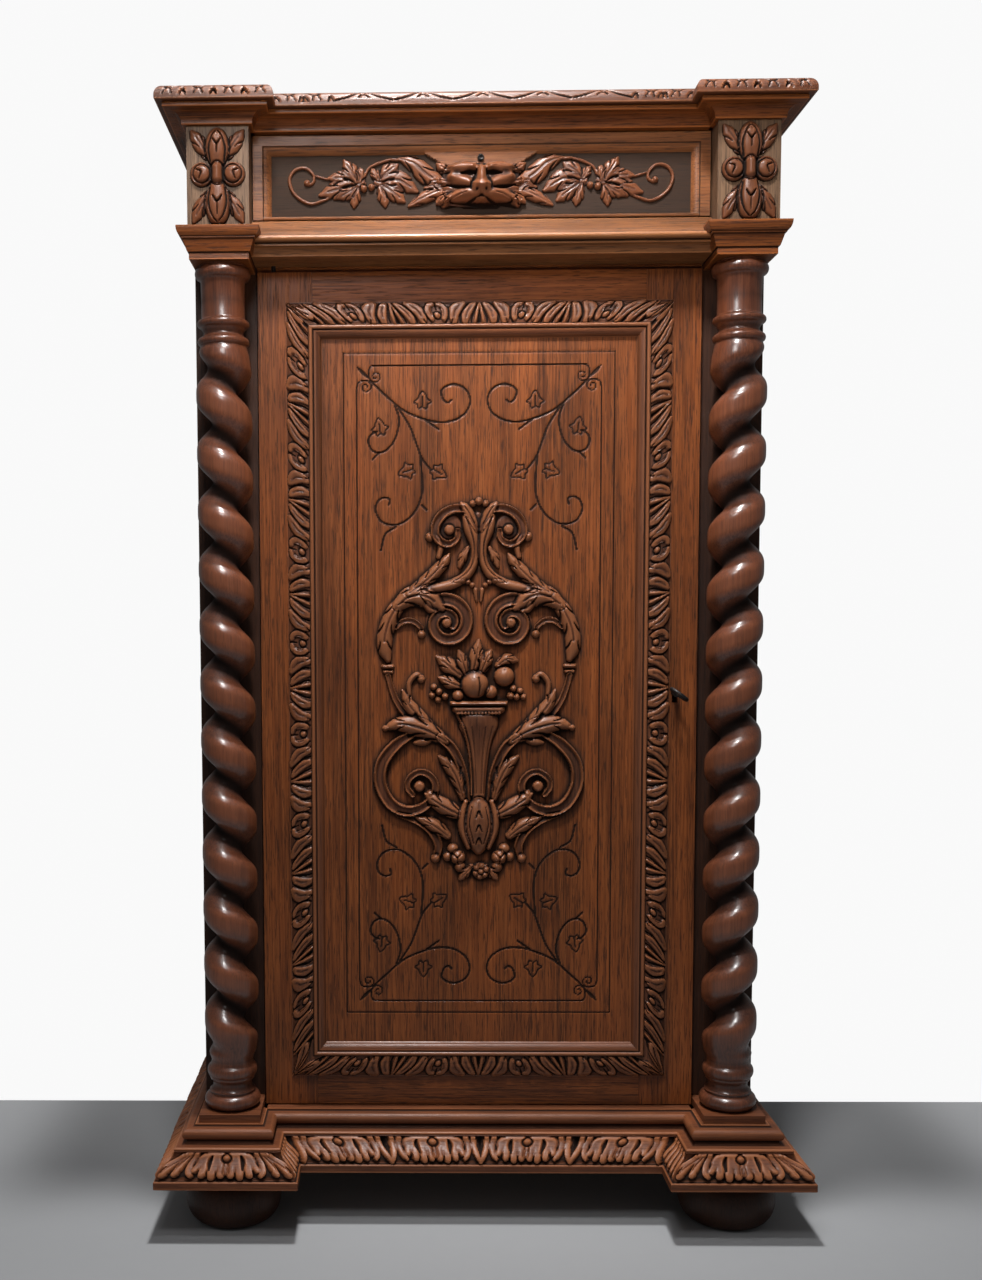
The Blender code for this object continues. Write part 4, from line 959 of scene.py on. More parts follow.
def moulded(name: str, section: Section, runs: Sequence[Run], step: float = 1.25 * MM, ground: float = 0.0,
            loop: bool = False) -> bpy.types.Mesh:
    """Sweeps a section along runs that meet in mitres.

    Args:
        name: the mesh's name.
        section: the moulding's outline.
        runs: straight lengths in order.
        step: distance between rows of a carved run.
        ground: height of the carved ground against the outline, in millimetres.
        loop: whether the last run meets the first, round a board that the section closes.

    Returns:
        The mesh.
    """
    parts = [run.rows(section, step, ground) for run in runs]
    first = 0 if loop else 1
    last = -1 if loop else None
    points, wear = (np.vstack([kind[0][:last]] + [part[first:last] for part in kind[1:]])
                    for kind in zip(*parts))
    return lattice(name, points, wear, not loop, loop)


def corner_runs(side: int, half: float, level: float,
                carves: Sequence[Optional[Callable[[Carving], None]]] = NOTHING) -> list[Run]:
    """Inner return, front and outer return round a column.

    Args:
        side: -1 for the left column, 1 for the right.
        half: half the width of the block at the section's own zero.
        level: height of the section's foot.
        carves: what is carved on the three faces.

    Returns:
        Three runs that meet in mitres.
    """
    origin = Vector((side * COLUMN_X, COLUMN_Y, level))
    depth = POST_FACE - COLUMN_Y
    inner = Run(origin - X_AXIS * side * half, -Y_AXIS, -X_AXIS * side, -depth, half, 0, 1, carve=carves[0])
    front = Run(origin - Y_AXIS * half, X_AXIS * side, -Y_AXIS, -half, half, -1, 1, carve=carves[1])
    outer = Run(origin + X_AXIS * side * half, Y_AXIS, X_AXIS * side, -half, depth, -1, 0, carve=carves[2])
    return [inner, front, outer]


# Sub-assemblies

class Workshop:
    """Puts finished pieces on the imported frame."""

    def __init__(self, frame: Mapping[str, Any]) -> None:
        self.frame = frame
        self.dressed: set[str] = set()

    def fit(self, name: str, mesh: bpy.types.Mesh, body: str, finish: Finish, grain: Grain,
            nodes: Sequence[str], eased: float = 0.0) -> None:
        """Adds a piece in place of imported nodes.

        Args:
            name: the piece's name.
            mesh: its shape.
            body: the body it rides on.
            finish: what it is made of.
            grain: direction of its fibres.
            nodes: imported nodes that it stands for.
            eased: width of a bevel on its edges.
        """
        piece = bpy.data.objects.new(name, mesh)
        bpy.context.scene.collection.objects.link(piece)
        mesh.materials.clear()
        mesh.materials.append(finish.material(grain))
        ease(piece, eased)
        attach(piece, body)
        if nodes:
            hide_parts(*nodes)
            self.dressed.update(nodes)
        LOG.info("fitted %s on %s: %d faces", name, body, len(mesh.polygons))

    def dress(self, nodes: Sequence[str], finish: Finish, grain: Grain, eased: float = 0.8 * MM) -> None:
        """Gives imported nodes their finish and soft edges.

        Args:
            nodes: the nodes' names.
            finish: what they are made of.
            grain: direction of their fibres.
            eased: width of a bevel on their edges.
        """
        for node in nodes:
            piece = self.frame["nodes"][node]
            material = finish.material(grain)
            for slot in piece.material_slots:
                slot.material = material
            if not piece.material_slots:
                piece.data.materials.append(material)
            ease(piece, eased)
            self.dressed.add(node)
            LOG.info("dressed %s in %s", node, material.name)


def ease(piece: bpy.types.Object, width: float) -> None:
    """Rounds a piece's sharp edges a little, if a width is given.

    Args:
        piece: the object.
        width: width of the bevel.
    """
    if not width:
        return
    bevel = piece.modifiers.new("eased_edges", "BEVEL")
    bevel.width = width
    bevel.segments = 2
    bevel.limit_method = "ANGLE"
    bevel.angle_limit = math.radians(40)
    bevel.harden_normals = False


@dataclass
class Assembly:
    """A part of the cabinet that is built on its own."""

    shop: Workshop


@dataclass
class Feet(Assembly):
    """Bun feet: a turned pair in front and a plainer pair behind."""

    height: float = 0.062
    radius: float = 0.056
    neck: float = 0.041
    rear_radius: float = 0.042
    rear_y: float = 0.1565
    bore: float = 0.004

    def build(self) -> None:
        """Turns the four feet."""
        swelling = self.height * 0.44
        core = self.radius * 0.66
        front = [(self.bore, 0.0), (core, 0.0)]
        front += arc((core, swelling), (self.radius - core, swelling), -78, 78, 26)
        front += [(self.neck + 0.001, self.height * 0.92), (self.neck, self.height * 0.94)]
        front += [(self.neck, self.height), (self.bore, self.height)]
        lobe = self.height * 0.46
        rear_core = self.rear_radius * 0.78
        rear = [(self.bore, 0.0), (rear_core, 0.0)]
        rear += arc((rear_core, lobe), (self.rear_radius * 0.22, lobe), -80, 80, 18)
        rear += [(rear_core, self.height), (self.bore, self.height)]
        for name, side in SIDES:
            for row, profile, y, steps in (("front", front, COLUMN_Y, 72), ("rear", rear, self.rear_y, 48)):
                mesh = turned(f"{row}_foot", profile, Vector((side * COLUMN_X, y, 0)), steps)
                # The feet take the painted-shadow oak: shade under the plinth is painted into their colour.
                self.shop.fit(f"bun_foot_{row}_{name}", mesh, "cabinet", PAINTED_SHADOW, Grain.UPRIGHT,
                              [f"{row}_{name}_foot"])


@dataclass
class Girdle(Assembly):
    """A moulding along the front and both sides that breaks forward at the columns."""

    title: str = ""
    node: str = ""
    finish: Oak = WAXED
    foot: float = 0.0
    half: float = 0.0
    centre_edge: float = 0.0
    centre_half: float = 0.0
    backs: tuple[float, float, float] = (0.0, 0.0, 0.0)
    carved: bool = False
    ground: float = 0.0

    def section(self, back: float) -> Section:
        """The moulding's outline, closed so far behind its top edge."""
        raise NotImplementedError

    def carve_front(self, carving: Carving) -> None:
        """Carves the front of a corner block."""

    def carve_length(self, carving: Carving) -> None:
        """Carves a long run."""

    def carve_return(self, carving: Carving) -> None:
        """Carves the short return of a corner block."""

    def corner(self, side: int, mesh: bpy.types.Mesh) -> bpy.types.Mesh:
        """A corner block, from the moulding round it."""
        return mesh

    def build(self) -> None:
        """Fits the front, the two corner blocks and the two sides."""
        carves = (self.carve_length, self.carve_front, self.carve_return)
        length, face, end = carves if self.carved else NOTHING
        front, corner, flank = (self.section(back) for back in self.backs)
        sweep = partial(moulded, ground=self.ground)
        fit = partial(self.shop.fit, body="cabinet", finish=self.finish)
        centre = Run(Vector((0, self.centre_edge, self.foot)), X_AXIS, -Y_AXIS, -self.centre_half,
                     self.centre_half, 1, -1, carve=length)
        mesh = sweep(f"{self.node}_front", front, [centre])
        fit(f"{self.title}_front", mesh, grain=Grain.ACROSS, nodes=[f"{self.node}_centre"])
        for name, side in SIDES:
            runs = corner_runs(side, self.half, self.foot, (end, face, end))
            mesh = sweep(f"{self.node}_corner", corner, runs)
            fit(f"{self.title}_corner_{name}", self.corner(side, mesh), grain=Grain.ACROSS,
                nodes=[f"{name}_{self.node}_corner"])
            edge = Vector((side * (COLUMN_X + self.half), 0, self.foot))
            run = Run(edge, Y_AXIS, X_AXIS * side, FLANK_START, BACK_FACE, carve=length)
            mesh = sweep(f"{self.node}_side", flank, [run])
            fit(f"{self.title}_side_{name}", mesh, grain=Grain.DEEP, nodes=[f"{name}_{self.node}_side"])


ACANTHUS_HALF = (
    plate(3, (37.5, 2, 3.4), (40, 13, 4), (38.5, 23, 3.6), (35, 28, 2.4)),
    plate(3.4, (6, 11.5, 11), (17, 12, 11.8), (26, 11, 10)), plate(3.4, (5.2, 18, 5), (5, 26.5, 4.4)),
    plate(3.4, (14, 20, 5.4), (14, 28, 4.6)), plate(3.4, (23.5, 19, 5.2), (24, 26, 4.6)),
    plate(3.4, (30.5, 16, 4.4), (32.5, 22, 3.6)), cut(3.4, (9.5, 32, 1.7), (9.8, 26, 0.8)),
    cut(3.4, (18.8, 32, 1.8), (18.8, 27, 0.8)), cut(3.4, (28.6, 29, 1.7), (27.8, 23, 0.8)),
    cut(5, (18, 4, 1.4), (19.2, 12, 3.2), (17.6, 22, 1.2)), cut(2.6, (0, 7.5, 7.4)),
    bead(2.8, (0, 14, 1.8), (0, 25, 2.6)), bead(5.2, (0, 7.5, 5)),
)
DART_HALF = (
    plate(3, (46, 2, 3.2), (46.4, 13, 3.8), (49.2, 23, 3.6), (53.2, 31, 2.2)),
    cut(2, (53.7, 2, 3.4), (53.7, 14, 0.9)),
)
CORNER_FAN = (
    plate(3.4, (45.5, 2, 3.4), (49.5, 13, 4.4), (51, 26, 3.6)),
    plate(3.2, (51, 3, 3), (59, 15, 4.2), (63, 27, 3.6)),
    plate(3, (56, 4, 2.4), (68, 17, 3.6), (76, 29, 2.6)),
    cut(1.4, (46, 5, 0.8), (51, 14, 1.1), (53, 24, 0.8)),
    cut(1.4, (51, 6, 0.8), (60, 16, 1), (65, 25, 0.8)),
)
LEAF_PITCH = 107.5
PLINTH_EDGE = -0.1245


@dataclass
class Plinth(Girdle):
    """The moulded base: corner blocks under the columns, a set-back centre, and two sides."""

    title: str = "carved_plinth"
    node: str = "plinth"
    finish: Oak = CARVED
    foot: float = 0.0623
    half: float = 0.039
    centre_edge: float = PLINTH_EDGE
    centre_half: float = 0.25
    backs: tuple[float, float, float] = (POST_FACE - PLINTH_EDGE, 0.020, 0.0027)
    carved: bool = True
    ground: float = -1.6
    pedestal_foot: float = 0.1175
    pedestal_half: float = 0.035
    pedestal_top: float = 0.1327

    def section(self, back: float) -> Section:
        """The moulding's outline.

        Args:
            back: how far behind its top edge the moulding goes.

        Returns:
            The section, with the ogee as the carved stretch.
        """
        outline = [(-back, 0.0), (0.0400, 0.0), (0.0420, 0.0012), (0.0420, 0.0092), (0.0412, 0.0102)]
        low = len(outline)
        for t in np.linspace(0, 1, 30):
            wave = t - math.sin(TURN * t) / TURN
            outline.append((0.0395 - 0.0185 * wave, 0.0104 + 0.0260 * t))
        high = len(outline)
        outline += [(0.0215, 0.0372)]
        outline += arc((0.0190, 0.0390), (0.0025, 0.0022), -40, 90, 6)
        outline += [(0.0135, 0.0415)]
        outline += arc((0.0135, 0.0462), (0.0052, 0.0047), 270, 182, 7)
        outline += arc((0.0070, 0.0526), (0.0060, 0.0064), -80, 88, 14)
        outline += [(0.0014, 0.0591), (0.0, 0.0596), (0.0, 0.0612), (-back, 0.0612)]
        return Section(outline, (low, high))

    @staticmethod
    def _draw(carving: Carving, marks: Sequence[Mark], flips: Sequence[int] = BOTH,
              shift: float = 0.0) -> None:
        """Draws leaf marks, which are written from the top of the band down."""
        carving.draw(marks, flips, (shift, carving.up[-1]), turn=-1)

    def carve_front(self, carving: Carving) -> None:
        """One leaf pair with fanned ends."""
        self._draw(carving, CORNER_FAN)
        self._draw(carving, ACANTHUS_HALF)

    def carve_length(self, carving: Carving) -> None:
        """Leaf pairs with darts between them.

        Args:
            carving: the band to carve.
        """
        count = max(1, int(carving.width / LEAF_PITCH + 0.3))
        for k in range(count):
            shift = (k - (count - 1) / 2) * LEAF_PITCH
            self._draw(carving, DART_HALF, shift=shift)
            self._draw(carving, ACANTHUS_HALF, shift=shift)

    def carve_return(self, carving: Carving) -> None:
        """Plain ribs."""
        ribs = [bead(3.2, (k * 11.0, 3, 4.2), (k * 11.5, 14, 4.6), (k * 12.5, 26, 3.6)) for k in range(-5, 6)]
        self._draw(carving, ribs, (1,))

    def corner(self, side: int, mesh: bpy.types.Mesh) -> bpy.types.Mesh:
        """A corner block with the pedestal of its column.

        Args:
            side: -1 for the left column, 1 for the right.
            mesh: the moulding round it.

        Returns:
            The whole block.
        """
        half = self.pedestal_half
        low = (side * COLUMN_X - half, COLUMN_Y - half, self.pedestal_foot)
        high = (side * COLUMN_X + half, POST_FACE, self.pedestal_top)
        return joined("plinth_corner", [mesh, block("pedestal", low, high)])


@dataclass
class Columns(Assembly):
    """Barley-twist columns, one the mirror of the other."""

    foot: float = 0.1330
    length: float = 0.9620
    radius: float = 0.0315
    pitch: float = 0.065
    crest: float = 0.821
    groove: float = 0.018
    fade: float = 0.030
    base: float = 0.062
    head: float = 0.090
    ring: float = 0.029
    drum: float = 0.025
    steps: int = 72
    row: float = 0.0022

    def rings(self) -> list[Point]:
        """Outline of a column.

        Returns:
            Height, radius and share of the twist for each ring, from the foot up.
        """
        base = arc((0.0240, 0.0088), (0.0085, 0.0086), -80, 80, 16)
        base += [(0.0250, 0.0182), (0.0250, 0.0194)]
        base += arc((0.0290, 0.0272), (0.0066, 0.0074), 250, 120, 12)
        base += [(0.0262, 0.0352)]
        base += arc((0.0245, 0.0432), (0.0045, 0.0070), -70, 75, 12)
        base += [(0.0247, 0.0516), (0.0242, 0.0560)]
        rings = [(z, r, 0.0) for r, z in base]
        end = self.length - self.head
        thick = self.ring * 0.9
        for height in np.arange(self.base, end, self.row):
            near = min(height - self.base, end - height) / self.fade
            share = min(1.0, max(0.0, near))
            rings.append((height, thick + (self.radius - thick) * math.sqrt(share), share))
        head = [(0.0262, 0.001)] + arc((0.0250, 0.0065), (0.0042, 0.0045), -75, 80, 9)
        head += arc((0.0285, 0.0160), (0.0062, 0.0046), 215, 145, 6)
        head += [(0.0250, 0.0214)] + arc((0.0255, 0.0262), (0.0040, 0.0042), -80, 80, 9)
        head += [(0.0252, 0.0312), (0.0246, 0.0330), (0.0244, 0.0500), (0.0250, 0.0725)]
        head += [(0.0262, 0.0745)] + arc((0.0265, 0.0812), (0.0048, 0.0062), -75, 84, 12)
        head += [(0.0268, 0.0882), (0.0268, 0.0900)]
        return rings + [(end + z, r, 0.0) for r, z in head]

    def mesh(self, side: int) -> bpy.types.Mesh:
        """One column.

        Args:
            side: -1 for the left column, 1 for the right.

        Returns:
            The mesh, with the groove painted darker as wax and painted shade.
        """
        height, radius, share = np.array(self.rings()).T[..., None]
        angle = around_axis(self.steps)[None]
        climb = np.clip(height, self.base, self.length - self.head) - self.crest
        turn = side * TURN * climb / self.pitch + (math.pi if side < 0 else 0.0)
        hollow = ((1 - np.cos(angle - turn)) / 2) ** 2
        girth = radius - self.groove * share * hollow
        points = revolved((side * COLUMN_X, COLUMN_Y, self.foot), girth, height, angle)
        # The groove is painted darker and the crests lighter: painted shade and highlight along with wax and
        # rubbing.
        wear = (0.34 - 0.95 * hollow) * share
        # Narrow necks of the turned ends get painted shade, and their rings a painted highlight.
        necks = np.where(radius < self.drum - 0.0005, -0.25, 0.12) * (share < 0.02)
        return lattice("column", points, np.clip(wear + necks, -1, 1))

    def build(self) -> None:
        """Fits both columns."""
        for name, side in SIDES:
            self.shop.fit(f"twisted_column_{name}", self.mesh(side), "cabinet", DARK, Grain.UPRIGHT,
                          [f"{name}_column"])


@dataclass
class Waist(Assembly):
    """Square caps on the columns and the moulding between them."""

    foot: float = 1.0953
    neck: float = 0.033
    bar_foot: float = 1.1030
    drawer_face: float = -0.1415
    reach: float = 0.2555
    eased: float = 0.4 * MM

    def cap_section(self) -> Section:
        """Outline of a cap.

        Returns:
            Half widths at each height, closed behind.
        """
        outline = [(0.010, 0.0), (self.neck, 0.0), (self.neck, 0.0077), (0.0345, 0.0080), (0.0352, 0.0092)]
        outline += [(0.0388, 0.0205), (0.0392, 0.0212), (0.0405, 0.0214), (0.0405, 0.0232)]
        outline += arc((0.0405, 0.0337), (0.0050, 0.0105), -88, 0, 9)
        outline += [(0.0448, 0.0337), (0.010, 0.0337)]
        return Section(outline)

    def bar_section(self) -> Section:
        """Outline of the moulding under the drawer.

        Returns:
            The section, closed behind.
        """
        outline = [(-0.0397, 0.0), (0.0060, 0.0)]
        outline += arc((0.01475, 0.0), (0.00875, 0.0090), 178, 92, 9)
        outline += [(0.0162, 0.0090), (0.0162, 0.0122)]
        outline += arc((0.0202, 0.01585), (0.0033, 0.0033), -92, 70, 12)
        outline += [(0.0165, 0.0202), (0.0010, 0.0395), (-0.0397, 0.0395)]
        return Section(outline)

    def build(self) -> None:
        """Fits the caps and the moulding."""
        origin = Vector((0, self.drawer_face, self.bar_foot))
        bar = Run(origin, X_AXIS, -Y_AXIS, -self.reach, self.reach)
        mesh = moulded("waist", self.bar_section(), [bar])
        # The waist rail takes the paler lit oak: painted light on its upward-facing strip.
        self.shop.fit("waist_rail", mesh, "cabinet", PAINTED_LIT, Grain.ACROSS, ["waist_moulding"], self.eased)
        for name, side in SIDES:
            mesh = moulded("cap", self.cap_section(), corner_runs(side, 0.0, self.foot))
            self.shop.fit(f"moulded_cap_{name}", mesh, "cabinet", WAXED, Grain.ACROSS,
                          [f"{name}_column_cap"], self.eased)


ROSETTE = (
    *paired(leaf(5, (-4, 14, 4), (-13, 25, 8), (-21, 36, 8), (-28, 46, 2)),
            leaf(5, (-5, -16, 4), (-14, -28, 8), (-21, -39, 8), (-27, -51, 2))),
    bead(10, (0, 13, 9), (0, 26, 13.5), (0, 37, 11.5), (0, 45, 5)),
    *paired(cut(3.2, (-7.5, 13, 1.1), (-9, 26, 1.5), (-5.5, 39, 1.2), (-1, 45, 0.8))),
    cut(3.4, (-4.5, 36, 0.9), (0, 31, 1.7), (4.5, 36, 0.9)), cut(2.6, (0, 31, 1.2), (0, 22, 0.9)),
    bead(10.5, (0, -14, 9), (0, -29, 14), (0, -42, 12), (0, -50, 5)),
    *paired(cut(3.2, (-8, -15, 1.1), (-9.8, -30, 1.5), (-6.5, -44, 1.2), (-1, -51, 0.8))),
    cut(3.4, (-5, -24, 0.9), (-1.5, -29.5, 1.8), (1.5, -29.5, 1.8), (5, -24, 0.9)),
    cut(2.6, (0, -30, 1.1), (0, -44, 0.9)),
    *paired(bead(9, (-17, 0, 13.4))),
    *(cut(3, *scroll((across, 0), (9.6, 9.6), 0, 360, (1.5, 1.5))) for across in (-17, 17)),
    *paired(cut(3, (-23, 4, 0.8), (-17.5, 1.5, 1.5), (-20, -6, 0.8))),
    bead(12, (0, -5.8, 6.4), (0, 5.8, 6.4)),
)


@dataclass
class Frieze(Assembly):
    """The blocks beside the drawer, each with a carved rosette."""

    face: float = -0.1695
    middle: float = 1.1850
    step: float = 0.85

    def build(self) -> None:
        """Dresses the blocks and carves the rosettes."""
        for name, side in SIDES:
            self.shop.dress([f"{name}_frieze_block"], RUBBED, Grain.UPRIGHT)
            carving = Carving(ticks(-31.5, 31.5, self.step), ticks(-53.0, 50.0, self.step))
            carving.draw(ROSETTE)
            mesh = relief("rosette", carving, self.step, Vector((side * COLUMN_X, self.face, self.middle)))
            self.shop.fit(f"carved_rosette_{name}", mesh, "cabinet", SHADED, Grain.UPRIGHT,
                          [f"{name}_rosette"])


@dataclass
class Cornice(Girdle):
    """The hollow moulding under the top, with corner blocks over the columns."""

    title: str = "hollow_cornice"
    node: str = "cornice"
    foot: float = 1.2373
    half: float = 0.034
    centre_edge: float = -0.1445
    centre_half: float = 0.255
    backs: tuple[float, float, float] = (0.0200, 0.024, -0.0023)

    def section(self, back: float) -> Section:
        """The moulding's outline.

        Args:
            back: how far behind its top edge the moulding goes.

        Returns:
            The section, all of it plain.
        """
        outline = [(-back, 0.0), (0.0042, 0.0), (0.0045, 0.0004), (0.0045, 0.0027), (0.0048, 0.0030)]
        outline += arc((0.0180, 0.0030), (0.0132, 0.0098), 178, 92, 10)
        outline += [(0.0222, 0.0130), (0.0225, 0.0134), (0.0225, 0.0172), (0.0221, 0.0176), (-back, 0.0176)]
        return Section(outline)


CHEVRON = (
    *paired(cut(2, (-31, 4.5, 1.3), (-17, 8.5, 1.5), (-8, 13.5, 1.3), (0, 16.5, 0.8))),
    cut(2.2, (-6, 8, 0.9), (0, 12, 1.5), (6, 8, 0.9)),
)
CLUSTER = (
    cut(2.4, (-7, 16, 1.2), (-2.5, 12, 1.6), (0, 12.5, 1.2), (2.5, 12, 1.6), (7, 16, 1.2)),
    *paired(cut(2, (-2.5, 11, 1.2), (-4.5, 5, 1)), cut(2.6, (13, 4, 1.2), (16, 9.5, 1.7), (19, 4, 1.2))),
)
SCALLOP = CLUSTER + paired(cut(1.2, (16, 11, 0.7), (16.5, 18, 0.8)))


@dataclass
class TopBoard(Assembly):
    """The breakfront top with its carved edge."""

    foot: float = 1.2553
    thick: float = 0.0167
    half: float = 0.353
    corner_face: float = -0.1995
    centre_face: float = -0.1745
    break_half: float = 0.225
    inset: float = 0.014

    def section(self) -> Section:
        """Outline of the edge.

        Returns:
            The section, from its lower inside to its upper inside.
        """
        outline = [(-self.inset, 0.0), (-0.0008, 0.0)]
        low = len(outline)
        outline += [(0.0, 0.0008), (0.0, 0.0020), (0.0, 0.0032)]
        outline += arc((-0.0115, 0.0040), (0.0115, 0.0127), 2, 84, 16)
        high = len(outline)
        outline += [(-self.inset, self.thick)]
        return Section(outline, (low, high))

    @staticmethod
    def chevrons(carving: Carving) -> None:
        """Wide chevrons with a leafy cluster at each end.

        Args:
            carving: the edge to carve.
        """
        for k in range(-2, 3):
            carving.draw(CHEVRON, shift=(k * 65.0, 0.0))
        for shift in (-182.0, 182.0, -210.0, 210.0):
            carving.draw(CLUSTER, shift=(shift, 0.0))

    @staticmethod
    def scallops(carving: Carving, pitch: float = 32.0) -> None:
        """Leaf scallops.

        Args:
            carving: the edge to carve.
            pitch: distance between them, in millimetres.
        """
        count = max(1, round(carving.width / pitch))
        for k in range(count):
            carving.draw(SCALLOP, shift=((k - (count - 1) / 2) * pitch, 0.0))

    def build(self) -> None:
        """Fits the top."""
        right = [(self.break_half, self.centre_face), (self.break_half, self.corner_face),
                 (self.half, self.corner_face), (self.half, BACK_FACE)]
        corners = right[3:] + [(-x, y) for x, y in right[::-1]] + right[:3]
        carves = [None, self.scallops, self.scallops, None, self.chevrons, None, self.scallops, self.scallops]
        runs = []
        for k, carve in enumerate(carves):
            near = ((k + step) % len(corners) for step in (-1, 0, 1, 2))
            before, first, last, after = (Vector((*corners[place], 0)) for place in near)
            along = (last - first).normalized()
            outward = Vector((along.y, -along.x, 0))
            turn_in = (first - before).normalized().cross(along).z
            turn_out = along.cross((after - last).normalized()).z
            runs.append(Run(Vector((first.x, first.y, self.foot)), along, outward, 0.0, (last - first).length,
                            -turn_in, turn_out, carve=carve))
        mesh = moulded("top", self.section(), runs, loop=True)
        self.shop.fit("carved_top", mesh, "cabinet", OILED, Grain.ACROSS, ["top_board"])


KNOT = (
    cut(1.4, (-139.4, 375.5, 0.8), (-133, 369, 2.4), (-126, 362.5, 1)),
    cut(1.4, (-121.5, 376.5, 1), (-125.2, 373.5, 1), (-126, 366.5, 1)),
    cut(1.4, *scroll((-118.2, 364.5), (8, 2), 165, 480, (1, 0.8))),
    cut(1.4, (-140, 351.5, 1), (-138.4, 357, 1), (-134.4, 359.4, 1)),
    cut(1.4, *scroll((-129.6, 352.6), (8, 2), 125, -480, (1, 0.8))),
)
VINE_LINES = (
    ((-124.5, 359.5), (-109.8, 345.9), (-97.3, 334.4), (-84.7, 325), (-68, 317.7), (-51.3, 312.9),
     (-36.7, 312.5), (-24.2, 316.3), (-13.7, 325), (-10, 337.6), (-14.8, 349), (-26.2, 354.7),
     (-36.7, 353.2), (-43, 347.6), (-40.9, 338.6), (-35.6, 334.4), (-31.5, 337.6)),
    ((-96.2, 331), (-92, 318.8), (-92, 308.3), (-96.2, 293.7), (-104.6, 282.2), (-115, 278),
     (-123.4, 282.2), (-126.9, 291.6), (-123.4, 298.9), (-117, 302)),
    ((-115, 278), (-122.3, 270.7)),
    ((-92, 328), (-79.5, 308.3), (-72.2, 289.5), (-67, 275), (-62.8, 267.6), (-55.5, 259.2)),
    ((-67, 272), (-64.9, 243.6), (-67, 224.8), (-74.3, 210), (-86.8, 198.7), (-99.3, 195.5),
     (-111.9, 199.7), (-118.6, 211.2), (-117, 221.6), (-109.8, 226.9), (-102.5, 224.8), (-103.5, 218.5)),
    ((-95.2, 193.4), (-107.7, 185), (-113, 166.3)),
    ((-66, 218.5), (-59.7, 212.2)),
    ((-60, 314), (-46, 304)),
)
IVY = ((-3, 0), (-5.5, 4.5), (-1, 5.8), (2, 10), (5.5, 5.6), (9.5, 4), (14, 0), (9.5, -4),
       (5.5, -5.6), (2, -10), (-1, -5.8), (-5.5, -4.5), (-3, 0), (8, 0))
VINE_FLOWERS = ((-64.5, 333.5, 90), (-113, 303.5, 100), (-49.2, 257, -30), (-79.5, 258.2, 200))
